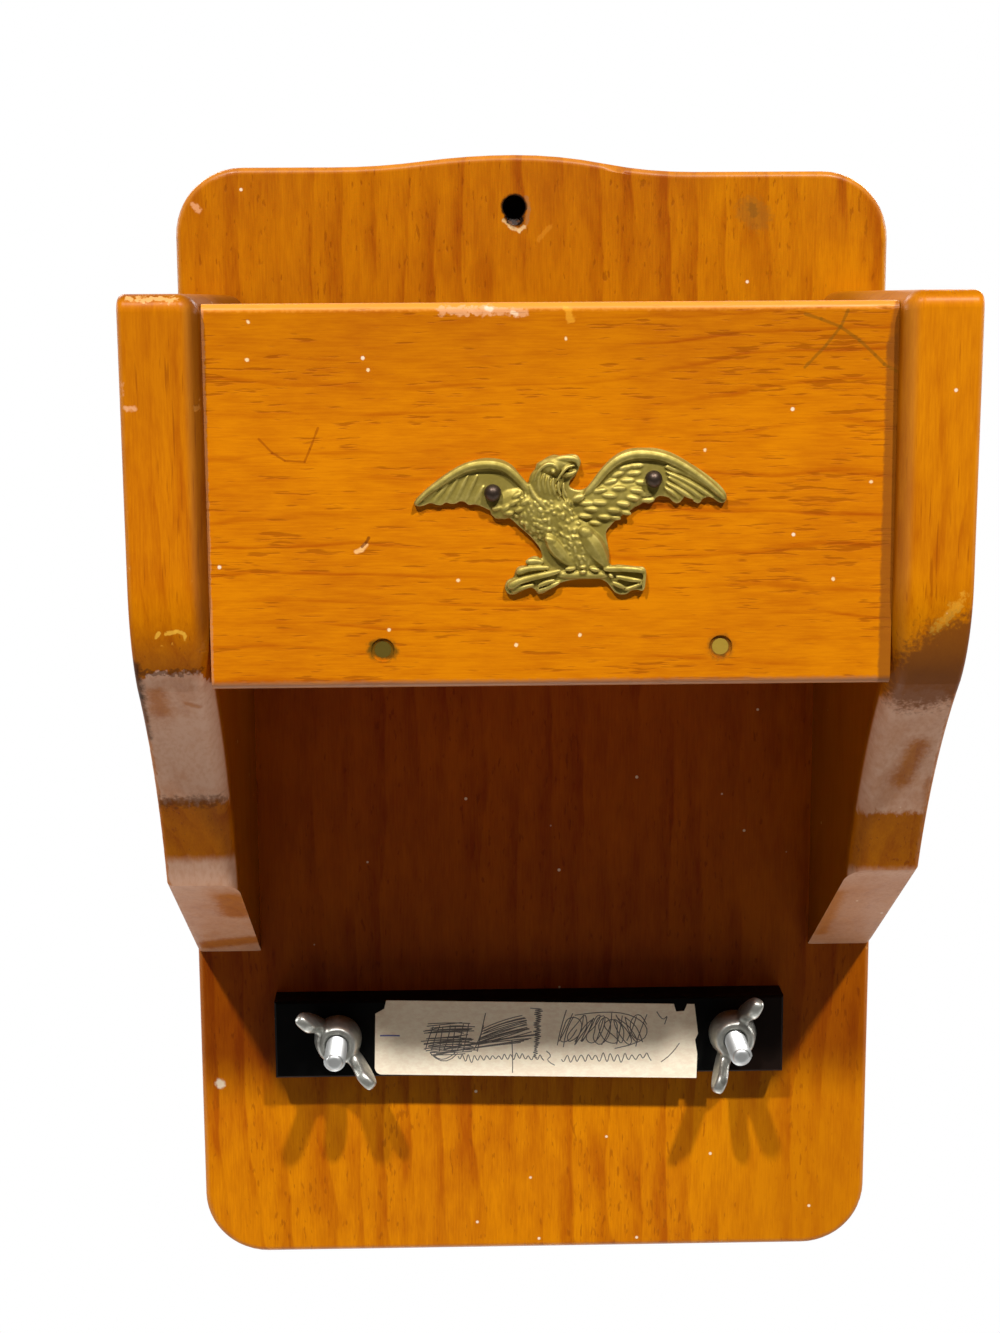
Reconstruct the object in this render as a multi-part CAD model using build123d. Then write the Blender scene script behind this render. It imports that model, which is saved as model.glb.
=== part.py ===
from build123d import *
import os

os.makedirs("parts", exist_ok=True)

# A pine wall rack for letters. The back board hangs on one hole. Two shaped side brackets carry a pocket
# with a cross-grain front and a stamped brass eagle. Under the pocket a black bar is drawn against the
# board by two wing nuts, to clamp a memo pad.
# Millimetres. The wall is the plane Y = 0, the front looks towards -Y and +Z is up. Pieces are drawn
# about the board's centreline, and are moved when written so that the origin is the hanging hole's axis.

inch = 25.4

# Boards
stock = 0.75 * inch
board_width = 8 * inch
board_height = 13 * inch
hole_offset = -5.4               # the hanging hole is left of the board's centreline
crown_height = 14.5              # top of the crown above the hanging hole
crown_half_width = 51.0
shoulder_left = 11.3             # hand-sawn shoulders, not quite level
shoulder_right = 9.6
board_corner = 0.75 * inch
board_arris = 2.0
sharp_arris = 0.8
hole_radius = 3.25

# Side brackets, as depths in front of the board and heights from the hanging hole
bracket_depth = 4.5 * inch
bracket_top = -24.2
bracket_corner = 4.0
taper_end = (113.0, -93.0)       # end of the front edge, which leans back a little
knee_middle = (110.4, -107.0)
knee_end = (102.5, -120.2)
hollow_middle = (78.6, -148.4)
cusp_left = (62.0, -180.8)       # the two brackets were sawn by hand and differ a little
cusp_right = (62.0, -178.8)
nose = (3.4, -216.8)
bracket_bottom = -218.8
outer_arris = 1.7
inner_arris = 5.0                # worn round along the top, the front and the knee
thin_arris = 1.2                 # and only eased along the hollow below it

# Pocket
panel_setback = 0.25 * inch      # the panel's face is this far behind the brackets' front edges
panel_top = -26.6
panel_bottom = -118.9
panel_arris = 2.2
pocket_width = board_width - 2 * stock
panel_face = -stock - bracket_depth + panel_setback
pocket_depth = bracket_depth - panel_setback - stock

# Brass nails and wood screws
nail_head = 2.0
nail_head_height = 0.8
nail_shank = 1.1
nail_length = 32.0
nail_recess = 2.85
nail_recess_depth = 0.6
front_nail_x = 41.0
screw_head = 4.1
screw_shank = 2.1
screw_head_height = 2.9
screw_length = 1.5 * inch
screw_point = 7.0
screw_slot = 1.1
bracket_screw_heights = (-60.0, -165.0)
floor_screw_x = 45.0
fastener_gap = 0.03              # the pilot holes are this much larger than the fasteners

# Clamp: quarter-inch bolts, a black bar and wing nuts
bolt_radius = 0.125 * inch
bolt_length = 2 * inch
bolt_head = 6.4
bolt_head_height = 3.6
bolt_point = 1.2                 # chamfer at the bolt's end
bolt_slot = 1.4
bolt_spacing = 118.0
bolt_z = -242.8
clamp_x = -0.4                   # middle between the two bolts
bar_length = 6 * inch
bar_height = 0.9375 * inch
bar_thickness = 0.375 * inch
bar_x = -2.1
bar_z = -243.7
bar_hole = bolt_radius + 0.35
bar_edge = 0.6
running_gap = 0.06
nut_height = 8.5
nut_base = 7.2
nut_crown = 5.8
wing_root = 4.4                  # the wings start this far from the axis, inside the boss
wing_reach = 15.6
wing_rise = 15.2
wing_thickness = 3.6
wing_edge = 0.9
nut_turn_left = -45.0            # angles at which the two nuts came to rest
nut_turn_right = 66.0
label_length = 96.8
label_height = 23.2
label_thickness = 0.2
label_turn = -1.5
label_z = -244.4

# Eagle
eagle_x = 4.5
eagle_z = -78.9
plate = 1.3                      # thickness of the stamping's field
band_radius = 1.2
relief_overlap = 0.1             # the rounded masses sink this far into the field
pin_radius = 1.0
pin_head = 2.1
pin_length = 14.0

left_edge = -board_width / 2
right_edge = board_width / 2
board_bottom = crown_height - board_height
nail_z = panel_bottom + stock / 2


def turned(outline):
    """A solid of revolution about Z from (radius, height) points."""
    return revolve(Plane.XZ * make_face(Polyline(*outline, close=True)), Axis.Z)


def edges_on(part, axis, place):
    """The edges of a part that lie wholly in the plane at this place along an axis."""
    return part.edges().filter_by_position(axis, place - 0.01, place + 0.01)


def wood_screw(gap=0.0):
    """A flat-head wood screw along +Z with its head's face at Z = 0. With a gap it is the pilot hole."""
    point = 0 if gap else screw_point
    screw = turned([
        (0, 0), (screw_head + gap, 0), (screw_shank + gap, screw_head_height),
        (screw_shank + gap, screw_length - point + gap), (0, screw_length + gap)])
    if gap:
        return screw
    slot = Box(2.2 * screw_head, screw_slot, 2 * screw_slot)
    return screw - slot


def brass_nail(gap=0.0):
    """A nail along +Z, with a thin flat head whose face is at Z = 0."""
    return turned([
        (0, 0), (nail_head + gap, 0), (nail_head + gap, nail_head_height + gap),
        (nail_shank + gap, nail_head_height + gap), (nail_shank + gap, nail_length + gap),
        (0, nail_length + gap)])


def nail_recess_cutter():
    """The ring of crushed wood round a nail's head, and the head's own seat."""
    ring = Cylinder(nail_recess, 2 * nail_recess_depth)
    return ring + Pos(0, 0, nail_recess_depth) * brass_nail(fastener_gap)


# Places of the fasteners. Each is a location that turns +Z along the fastener.
front_nail_places = [
    Pos(side * front_nail_x, panel_face, nail_z) * Rot(-90, 0, 0) for side in (-1, 1)]
panel_middle_y = panel_face + stock / 2


def side_nail_places(side):
    """Two nails into the panel's end and one into the floor's end, on one side."""
    turn = Rot(0, -90 * side, 0)
    panel_nails = [Pos(side * right_edge, panel_middle_y, z) * turn for z in (-45.0, -84.0)]
    floor_nail = Pos(side * right_edge, -stock - pocket_depth / 2, nail_z) * turn
    return panel_nails + [floor_nail]


def bracket_screw_places(side):
    x = side * (right_edge - stock / 2)
    return [Pos(x, 0, z) * Rot(90, 0, 0) for z in bracket_screw_heights]


floor_screw_places = [Pos(x, 0, nail_z) * Rot(90, 0, 0) for x in (-floor_screw_x, floor_screw_x)]
bolt_places = [Pos(clamp_x + side * bolt_spacing / 2, 0, bolt_z) * Rot(90, 0, 0) for side in (-1, 1)]


def clamp_bolt(gap=0.0):
    """A countersunk machine bolt along +Z, with a slotted head flush at Z = 0 and a rounded end."""
    bolt = turned([
        (0, 0), (bolt_head + gap, 0), (bolt_radius + gap, bolt_head_height),
        (bolt_radius + gap, bolt_length - bolt_point), (bolt_radius - bolt_point, bolt_length),
        (0, bolt_length)])
    if gap:
        return bolt
    return bolt - Box(2.2 * bolt_head, bolt_slot, 2 * bolt_slot)


def back_board():
    x_hole = hole_offset
    low_left = (left_edge, board_bottom)
    low_right = (right_edge, board_bottom)
    top_left = (left_edge, shoulder_left)
    top_right = (right_edge, shoulder_right)
    crown_left = (x_hole - crown_half_width, shoulder_left)
    crown_right = (x_hole + crown_half_width, shoulder_right)
    # Each half of the crown is a hollow arc and a full one, which run into each other halfway up.
    peak = (x_hole, crown_height)
    left_middle = (x_hole - crown_half_width / 2, (shoulder_left + crown_height) / 2)
    right_middle = (x_hole + crown_half_width / 2, (shoulder_right + crown_height) / 2)
    crown = [
        TangentArc(crown_left, left_middle, tangent=(1, 0)), TangentArc(peak, left_middle, tangent=(-1, 0)),
        TangentArc(peak, right_middle, tangent=(1, 0)), TangentArc(crown_right, right_middle, tangent=(-1, 0))]
    sides = Polyline(crown_right, top_right, low_right, low_left, top_left, crown_left)
    outline = make_face(crown + [sides])
    corners = [v for v in outline.vertices() if abs(abs(v.X) - right_edge) < 0.01]
    outline = fillet(corners, board_corner)
    board = extrude(Plane.XZ * outline, stock)
    board = fillet(edges_on(board, Axis.Y, -stock), board_arris)
    board = chamfer(edges_on(board, Axis.Y, 0), sharp_arris)
    board -= Pos(x_hole, 0, 0) * Rot(90, 0, 0) * Cylinder(hole_radius, 3 * stock)
    # The nail in the wall has worn the lower lip of the hole into a groove.
    groove = Pos(x_hole, -stock, -hole_radius + 0.6) * Rot(62, 0, 0) * Cylinder(2.2, 9)
    board -= groove
    for side in (-1, 1):
        for place in bracket_screw_places(side):
            board -= place * wood_screw(fastener_gap)
    for place in floor_screw_places:
        board -= place * wood_screw(fastener_gap)
    for place in bolt_places:
        board -= place * clamp_bolt(fastener_gap)
    return board


def side_bracket(side):
    """One shaped side: straight front, knee, long hollow, a cusp, and a straight run back to the board."""
    cusp = cusp_left if side < 0 else cusp_right

    def at(point):
        return (-stock - point[0], point[1])
    front = Polyline((-stock, bracket_top), at((bracket_depth, bracket_top)), at(taper_end))
    knee = ThreePointArc(at(taper_end), at(knee_middle), at(knee_end))
    hollow = ThreePointArc(at(knee_end), at(hollow_middle), at(cusp))
    foot = Polyline(at(cusp), at(nose), (-stock, bracket_bottom), (-stock, bracket_top))
    outline = make_face([front, knee, hollow, foot])
    corner = outline.vertices().sort_by(lambda v: v.X - v.Y)[0]
    outline = fillet(corner, bracket_corner)
    # The face is drawn in the plane of Y and Z, at the side's left face.
    left_face = left_edge if side < 0 else right_edge - stock
    bracket = extrude(Plane.YZ.offset(left_face) * outline, stock)
    inner = side * (right_edge - stock)
    outer = side * right_edge
    shaped = [e for e in edges_on(bracket, Axis.X, inner) if e.center().Y < -stock - 0.5]
    bracket = fillet([e for e in shaped if e.center().Z > knee_end[1]], inner_arris)
    hollow_edges = [
        e for e in edges_on(bracket, Axis.X, inner) if cusp[1] + 4 < e.center().Z < knee_end[1] + 2]
    bracket = fillet(hollow_edges, thin_arris)
    shaped = [e for e in edges_on(bracket, Axis.X, outer) if e.center().Y < -stock - 0.5]
    bracket = fillet(shaped, outer_arris)
    for place in side_nail_places(side):
        bracket -= place * nail_recess_cutter()
    for place in bracket_screw_places(side):
        bracket -= place * wood_screw(fastener_gap)
    return bracket


def front_panel():
    height = panel_top - panel_bottom
    panel = Pos(0, panel_middle_y, (panel_top + panel_bottom) / 2) * Box(pocket_width, stock, height)
    face_edges = edges_on(panel, Axis.Y, panel_face).filter_by(Axis.X)
    panel = fillet(face_edges, panel_arris)
    rear_top = edges_on(panel, Axis.Y, panel_face + stock).filter_by(Axis.X).sort_by(Axis.Z)[-1]
    panel = fillet(rear_top, 1.5)
    for place in front_nail_places:
        panel -= place * nail_recess_cutter()
    for side in (-1, 1):
        for place in side_nail_places(side):
            panel -= place * Pos(0, 0, nail_recess_depth) * brass_nail(fastener_gap)
        panel -= eagle_pin_place(side) * eagle_pin(fastener_gap)
    return panel


def pocket_floor():
    y = -stock - pocket_depth / 2
    floor = Pos(0, y, nail_z) * Box(pocket_width, pocket_depth, stock)
    for place in front_nail_places + side_nail_places(-1) + side_nail_places(1):
        floor -= place * Pos(0, 0, nail_recess_depth) * brass_nail(fastener_gap)
    for place in floor_screw_places:
        floor -= place * wood_screw(fastener_gap)
    return floor


def nails(places):
    return [place * Pos(0, 0, nail_recess_depth) * brass_nail() for place in places]


# The eagle. Outlines are drawn about the middle of the breast, X right and Y up, as the bird is seen.
pin_places = {-1: (-18.7, 7.6), 1: (19.7, 10.6)}


def eagle_pin_place(side):
    x, z = pin_places[side]
    return Pos(eagle_x + x, panel_face - plate - band_radius + relief_overlap, eagle_z + z) * Rot(-90, 0, 0)


def eagle_pin(gap=0.0):
    """A round-headed pin along +Z. The head's underside is at Z = 0."""
    shank = Pos(0, 0, pin_length / 2 - 0.5) * Cylinder(pin_radius + gap, pin_length + 1)
    if gap:
        return shank
    head = Sphere(pin_head) & Pos(0, 0, -pin_head) * Box(3 * pin_head, 3 * pin_head, 2 * pin_head)
    return shank + head


def oval(x, y, long_half, short_half, height, turn=0.0):
    """Half an ellipsoid lying on the plate, for the rounded masses of the relief."""
    ball = scale(Sphere(1), by=(long_half, short_half, height))
    half = ball & Pos(0, 0, height) * Box(4 * long_half, 4 * short_half, 2 * height)
    return Pos(x, y, 0) * Rot(0, 0, turn) * half


def eagle_ornament():
    left_wing = make_face([
        Spline((-5.0, 1.0), (-11.8, 12.1), (-19.9, 15.5), (-28.5, 13.4), (-37.7, 5.1)),
        Spline((-37.7, 5.1), (-28.1, 4.9), (-20.6, 3.9), (-13.0, -0.5), (-7.2, -6.6)),
        Line((-7.2, -6.6), (-5.0, 1.0))])
    right_wing = make_face([
        Spline((1.0, 5.0), (6.6, 12.4), (13.7, 17.7), (23.0, 16.8), (32.9, 11.9), (37.5, 6.8)),
        Polyline((37.5, 6.8), (36.5, 4.6)),
        Spline((36.5, 4.6), (29.0, 4.9), (19.4, 5.1), (12.6, 2.0), (7.9, -2.8)),
        Line((7.9, -2.8), (1.0, 5.0))])
    body = make_face([
        Spline((-10.1, 10.7), (-7.2, 14.8), (-2.6, 16.5), (1.4, 16.1), (3.1, 14.0), (2.0, 11.6)),
        Spline((2.0, 11.6), (3.4, 8.5), (6.6, 6.0), (8.6, -0.5), (8.2, -9.2)),
        Polyline((8.2, -9.2), (18.6, -11.4), (18.9, -15.6), (14.5, -17.2), (9.6, -15.6)),
        Spline((9.6, -15.6), (6.7, -13.8), (0.5, -13.4), (-5.0, -15.4), (-9.0, -17.0)),
        Polyline((-9.0, -17.0), (-15.2, -17.0), (-16.0, -14.6), (-12.4, -10.6), (-7.2, -8.2)),
        Spline((-7.2, -8.2), (-8.0, -3.0), (-10.6, 3.0), (-10.1, 10.7))])
    bird = extrude(left_wing, plate) + extrude(right_wing, plate) + extrude(body, plate)
    # Leading edges of the wings stand up as smooth rounded bands.
    bands = [
        Spline((-9.5, 7.6), (-13.4, 12.2), (-19.9, 14.3), (-28.0, 12.2), (-36.2, 5.9)),
        Spline((5.4, 8.6), (8.4, 13.0), (14.2, 16.4), (22.6, 15.5), (31.6, 11.2), (36.2, 7.2))]
    for band in bands:
        start = Plane(origin=band @ 0, z_dir=band % 0)
        bird += Pos(0, 0, plate - relief_overlap) * sweep(start * RegularPolygon(band_radius, 6), path=band)
    # Breast, head, beak and two thighs, then three toes a foot: place, half length and width, height, turn.
    masses = [
        (-0.6, 0.6, 9.4, 7.4, 2.6, 100), (-3.4, 12.2, 5.4, 3.6, 2.4, 48), (1.2, 15.0, 2.1, 1.2, 1.7, -12),
        (-4.3, -7.0, 5.6, 2.7, 2.6, -52), (5.3, -5.9, 6.6, 3.4, 2.8, 118)]
    toes = [
        (-11.6, -12.0, 3.9, 24), (-11.8, -14.9, 4.4, 14), (-6.2, -14.4, 3.4, 32),
        (13.4, -12.4, 4.6, -4), (14.0, -14.4, 4.2, -18), (11.6, -15.0, 3.4, -46)]
    for x, y, long_half, turn in toes:
        masses.append((x, y, long_half, 1.2, 1.3, turn))
    for mass in masses:
        bird += Pos(0, 0, plate - relief_overlap) * oval(*mass)
    flat_back = Pos(0, 0, 10) * Box(100, 60, 20)
    bird = bird & flat_back
    bird = Pos(eagle_x, panel_face, eagle_z) * Rot(90, 0, 0) * bird
    for side in (-1, 1):
        bird -= eagle_pin_place(side) * eagle_pin(fastener_gap)
    return bird


def wing_nut(turn):
    """A forged wing nut on the bolt's axis along +Z, seated at Z = 0."""
    boss = turned([(0, 0), (nut_base, 0), (nut_crown, nut_height), (0, nut_height)])
    outside = ThreePointArc((wing_root, 1.0), (wing_reach - 3.9, 5.0), (wing_reach, 0.75 * wing_rise))
    tip = TangentArc(outside @ 1, (wing_reach - 6.2, wing_rise - 1.4), tangent=outside % 1)
    inside = TangentArc(tip @ 1, (wing_root, nut_height - 0.6), tangent=tip % 1)
    root = Line(inside @ 1, outside @ 0)
    blade = extrude(Plane.XZ * make_face([outside, tip, inside, root]), wing_thickness / 2, both=True)
    rim = [edge for edge in blade.edges() if edge.center().X > nut_crown and abs(edge.center().Y) > 1]
    blade = chamfer(rim, wing_edge)
    nut = boss + blade + Rot(0, 0, 180) * blade
    nut -= Cylinder(bolt_radius + running_gap, 3 * wing_rise)
    return Rot(0, 0, turn) * nut


def clamp_bar():
    y = -stock - bar_thickness / 2
    bar = Pos(bar_x, y, bar_z) * Box(bar_length, bar_thickness, bar_height)
    bar = chamfer(edges_on(bar, Axis.Y, -stock - bar_thickness), bar_edge)
    for place in bolt_places:
        bar -= place * Cylinder(bar_hole, 4 * stock)
    return bar


def paper_label():
    """A paper strip with a torn corner, a rounded one, a notch and a nick in its right end."""
    right = label_length / 2
    top = label_height / 2
    outline = Polyline(
        (-right, -top), (right, -top), (right, -4.0), (right - 0.8, 0.4), (right, 2.4), (right - 1.4, top),
        (right - 3.6, top), (right - 4.4, top - 2.2), (right - 6.8, top - 2.4), (right - 7.6, top),
        (-right + 3.2, top), (-right + 2.6, top - 2.6), (-right, top - 4.2), close=True)
    sheet = make_face(outline)
    corner = sheet.vertices().sort_by(lambda v: v.X + v.Y)[0]
    sheet = fillet(corner, 2.2)
    label = extrude(Rot(0, 0, label_turn) * sheet, label_thickness)
    return Pos(0, -stock - bar_thickness, label_z) * Rot(90, 0, 0) * label


nut_seat = stock + bar_thickness
pieces = {
    "back_board": back_board(),
    "left_bracket": side_bracket(-1),
    "right_bracket": side_bracket(1),
    "front_panel": front_panel(),
    "pocket_floor": pocket_floor(),
    "eagle_ornament": eagle_ornament(),
    "eagle_pin_left": eagle_pin_place(-1) * eagle_pin(),
    "eagle_pin_right": eagle_pin_place(1) * eagle_pin(),
    "front_nails": nails(front_nail_places),
    "side_nails_left": nails(side_nail_places(-1)),
    "side_nails_right": nails(side_nail_places(1)),
    "bracket_screws_left": [place * wood_screw() for place in bracket_screw_places(-1)],
    "bracket_screws_right": [place * wood_screw() for place in bracket_screw_places(1)],
    "floor_screws": [place * wood_screw() for place in floor_screw_places],
    "clamp_bolt_left": bolt_places[0] * clamp_bolt(),
    "clamp_bolt_right": bolt_places[1] * clamp_bolt(),
    "clamp_bar": clamp_bar(),
    "paper_label": paper_label(),
    "wing_nut_left": bolt_places[0] * Pos(0, 0, nut_seat) * wing_nut(nut_turn_left),
    "wing_nut_right": bolt_places[1] * Pos(0, 0, nut_seat) * wing_nut(nut_turn_right),
}

for name, piece in pieces.items():
    solids = piece if isinstance(piece, list) else [piece]
    placed = [Pos(-hole_offset, 0, 0) * solid for solid in solids]
    whole = placed[0] if len(placed) == 1 else Compound(children=placed)
    export_step(whole, f"parts/{name}.step")
    print(name, whole.bounding_box())
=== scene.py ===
# %% [markdown]
# # A pine wall rack for mail
# The object is a small varnished pine rack that hangs on one nail. It has a back board, two shaped
# brackets, a pocket with a brass eagle on its front, and a black bar that two wing nuts draw against
# the board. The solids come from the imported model, in metres, with the wall as the plane Y = 0, the
# front towards -Y and the origin on the hanging hole's axis. Blender gives them their finish, and
# replaces the few pieces whose shape is sculpted or threaded.

# %% Load the frame
import math
import random

import bmesh
import bpy
from mathutils import Matrix, Vector


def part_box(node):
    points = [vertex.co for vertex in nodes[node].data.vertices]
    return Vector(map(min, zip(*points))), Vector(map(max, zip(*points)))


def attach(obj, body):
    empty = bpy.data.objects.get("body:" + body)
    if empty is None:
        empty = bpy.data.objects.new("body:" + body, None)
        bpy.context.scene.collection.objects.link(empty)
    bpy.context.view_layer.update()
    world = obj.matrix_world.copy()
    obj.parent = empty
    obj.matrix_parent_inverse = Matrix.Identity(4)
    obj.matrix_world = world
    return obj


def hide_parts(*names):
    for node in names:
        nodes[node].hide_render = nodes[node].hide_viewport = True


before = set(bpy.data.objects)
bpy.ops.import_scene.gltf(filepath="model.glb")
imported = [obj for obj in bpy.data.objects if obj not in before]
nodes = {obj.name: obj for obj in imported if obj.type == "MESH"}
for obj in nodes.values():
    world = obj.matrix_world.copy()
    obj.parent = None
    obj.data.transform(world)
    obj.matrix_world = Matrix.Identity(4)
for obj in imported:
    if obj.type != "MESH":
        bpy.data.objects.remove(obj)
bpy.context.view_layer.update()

mm = 0.001

# %% [markdown]
# ## Places that later cells need
# The frame says where each piece is, so no size is written twice. The front faces of the board, the
# panel, the brackets and the label are the planes that the marks, the eagle and the pencil lie on.

# %% Planes and places
board_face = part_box("back_board")[0].y
panel_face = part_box("front_panel")[0].y
bracket_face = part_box("left_bracket")[0].y
label_low, label_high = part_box("paper_label")
label_face = label_low.y
print("board", board_face, "panel", panel_face, "bracket", bracket_face, "label", label_face)

# %% [markdown]
# ## The camera
# The photograph is taken from a little above, about two thirds of a metre away. A camera in Blender
# looks down its own -Z axis, so it is first stood upright by a quarter turn about X, less the tilt, then
# turned about Z and rolled. The lens comes from the focal length in pixels over the picture's height.

# %% Camera
picture_height = 1333
focal_pixels = 2100
camera_place = Vector((-18.9, -629.2, -26.1)) * mm
look_down = math.radians(9.895)
look_right = math.radians(1.329)
roll = math.radians(0.331)

lens = bpy.data.cameras.new("camera")
lens.sensor_width = 36
lens.lens = focal_pixels / picture_height * lens.sensor_width
camera = bpy.data.objects.new("camera", lens)
turn = (Matrix.Rotation(-look_right, 4, "Z") @ Matrix.Rotation(math.pi / 2 - look_down, 4, "X")
        @ Matrix.Rotation(-roll, 4, "Z"))
camera.matrix_world = Matrix.Translation(camera_place) @ turn
bpy.context.collection.objects.link(camera)
bpy.context.scene.camera = camera
print("lens", round(lens.lens, 2), "mm")

# %% [markdown]
# ## Small helpers for node trees
# A material is a tree of nodes. One helper adds a node, sets its settings and links or fills its
# inputs, so that each finish below reads as a short recipe. Colours are written as the eye sees them
# (0 to 255) and turned into the linear numbers that the renderer works with. The sums have plain
# names. Noise lies around one half, so swing centres it before it shifts another value.

# %% Node helpers
def linear(red, green, blue):
    """A colour as seen on a screen, in the renderer's linear values."""
    def one(value):
        value /= 255
        return value / 12.92 if value <= 0.04045 else ((value + 0.055) / 1.055) ** 2.4
    return (one(red), one(green), one(blue), 1.0)


def fill(tree, sockets, values):
    """Links or fills sockets. A value is a number, a colour or another node's socket."""
    for key, value in values.items():
        if isinstance(value, bpy.types.NodeSocket):
            tree.links.new(value, sockets[key])
        else:
            sockets[key].default_value = value


def spaced(values):
    """Turns the underscores of Python's names into the spaces of a socket's name."""
    return {key.replace("_", " "): value for key, value in values.items()}


def add(tree, kind, inputs=None, **settings):
    """Adds a node to a tree."""
    made = tree.nodes.new("ShaderNode" + kind)
    for key, value in settings.items():
        setattr(made, key, value)
    fill(tree, made.inputs, inputs or {})
    return made


print("node helpers ready")

# %% Sums
def calc(tree, operation, first, second=0.0):
    """One step of arithmetic on numbers."""
    return add(tree, "Math", {0: first, 1: second}, operation=operation).outputs[0]


def in_turn(operation):
    """Makes a helper that takes its numbers from left to right."""
    def worked(tree, first, *others):
        for other in others:
            first = calc(tree, operation, first, other)
        return first
    return worked


times, plus, less, most = (in_turn(name) for name in ("MULTIPLY", "ADD", "SUBTRACT", "MAXIMUM"))


def rest(tree, share):
    """What a share leaves of one."""
    return less(tree, 1.0, share)


def swing(tree, cloudy, amount):
    """Noise moved from around one half to around nothing, by an amount."""
    return times(tree, less(tree, cloudy, 0.5), amount)


def vector_calc(tree, operation, first, second=(0, 0, 0)):
    """One step of arithmetic on vectors. A dot product and a length are numbers."""
    made = add(tree, "VectorMath", {0: first, 1: second}, operation=operation)
    return made.outputs[1 if operation in ("DOT_PRODUCT", "LENGTH") else 0]


def parts(tree, vector):
    """A vector's X, Y and Z."""
    return add(tree, "SeparateXYZ", {0: vector}).outputs


def fade(tree, value, low, high, start=0.0, end=1.0):
    """Eases from one number to another as the value goes from low to high."""
    limits = {"Value": value, "From Min": low, "From Max": high, "To Min": start, "To Max": end}
    return add(tree, "MapRange", limits, interpolation_type="SMOOTHSTEP").outputs["Result"]


print("sums ready")

# %% Textures, groups and materials
def blend(tree, amount, first, second, mode="MIX"):
    """Mixes two colours."""
    mix = add(tree, "Mix", {0: amount, 6: first, 7: second}, data_type="RGBA", blend_type=mode)
    return mix.outputs[2]


def noise(tree, vector, scale, detail=3.0, roughness=0.5):
    """Cloudy noise around one half."""
    return add(tree, "TexNoise", {"Vector": vector, "Scale": scale, "Detail": detail,
                                  "Roughness": roughness}).outputs["Fac"]


def stretched(tree, vector, scales, detail, roughness=0.5):
    """Noise with its own scale in each direction. A low scale draws it out into streaks."""
    return noise(tree, vector_calc(tree, "MULTIPLY", vector, scales), 1.0, detail, roughness)


def bumped(tree, height, strength, distance):
    """A normal that makes a height look raised."""
    return add(tree, "Bump", {"Strength": strength, "Distance": distance, "Height": height}).outputs[0]


def group(name, outputs, **inputs):
    """An empty node group: its tree and its two ends. Triples make vector inputs."""
    tree = bpy.data.node_groups.new(name, "ShaderNodeTree")
    for label, value in spaced(inputs).items():
        kind = "NodeSocketVector" if isinstance(value, tuple) else "NodeSocketFloat"
        tree.interface.new_socket(label, in_out="INPUT", socket_type=kind).default_value = value
    for label in outputs:
        tree.interface.new_socket(label, in_out="OUTPUT", socket_type="NodeSocketFloat")
    return tree, tree.nodes.new("NodeGroupInput").outputs, tree.nodes.new("NodeGroupOutput").inputs


def use(tree, made_group, **inputs):
    """Places a node group."""
    made = tree.nodes.new("ShaderNodeGroup")
    made.node_tree = made_group
    fill(tree, made.inputs, spaced(inputs))
    return made.outputs


def material(name):
    """A new material. Returns its tree, its Principled shader and the object's own coordinates."""
    made = bpy.data.materials.new(name)
    made.use_nodes = True
    tree = made.node_tree
    return made, tree, tree.nodes["Principled BSDF"], add(tree, "TexCoord").outputs


def feed(tree, shader, **sockets):
    """Links or fills the shader's sockets."""
    fill(tree, shader.inputs, spaced(sockets))


def dress(node_name, made):
    """Gives a CAD node its material."""
    mesh = nodes[node_name].data
    mesh.materials.clear()
    mesh.materials.append(made)


print("material helpers ready")

# %% [markdown]
# ## The room
# The photograph has a pure white ground. A sheet that curves from floor to wall stands far below and
# behind the rack. To the camera, and in gloss, it shows plain white; to soft light it is pale paint.
# The same holds for the world, which lights the shaded side of the rack faintly.

# %% Helpers for the room
def placed(work, name):
    """Makes an object from a bmesh, at the origin."""
    mesh = bpy.data.meshes.new(name)
    work.to_mesh(mesh)
    work.free()
    made = bpy.data.objects.new(name, mesh)
    bpy.context.collection.objects.link(made)
    return made


def of_kind(kind, items):
    """The vertices or the edges among what an operator made."""
    return [item for item in items if isinstance(item, kind)]


def show_either(tree, share, first, second, end="Material Output"):
    """Shows the first shader where the share is 0 and the second where it is 1."""
    mixed = add(tree, "MixShader", {0: share, 1: first, 2: second}).outputs[0]
    tree.links.new(mixed, tree.nodes[end].inputs["Surface"])


print("room helpers ready")

# %% Floor and backdrop
half_width = 4
front_edge = -1.6
floor_height = -1.6
wall_distance = 2.6
wall_height = 3
curve_radius = 0.8
white = (1, 1, 1, 1)

sheet = bmesh.new()
ends = [sheet.verts.new((x, front_edge, floor_height)) for x in (-half_width, half_width)]
strip = [sheet.edges.new(ends)]


def extend(strip, move):
    """Draws the sheet's free edge on by a move, and returns the new edge."""
    made = bmesh.ops.extrude_edge_only(sheet, edges=strip)["geom"]
    bmesh.ops.translate(sheet, verts=of_kind(bmesh.types.BMVert, made), vec=move)
    return of_kind(bmesh.types.BMEdge, made)


strip = extend(strip, (0, wall_distance - front_edge - curve_radius, 0))
bent = bmesh.ops.spin(
    sheet, geom=strip, cent=(0, wall_distance - curve_radius, floor_height + curve_radius), axis=(1, 0, 0),
    angle=math.pi / 2, steps=12, use_merge=False)
extend(of_kind(bmesh.types.BMEdge, bent["geom_last"]), (0, 0, wall_height))
for face in sheet.faces:
    face.smooth = True
backdrop = placed(sheet, "backdrop")

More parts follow.
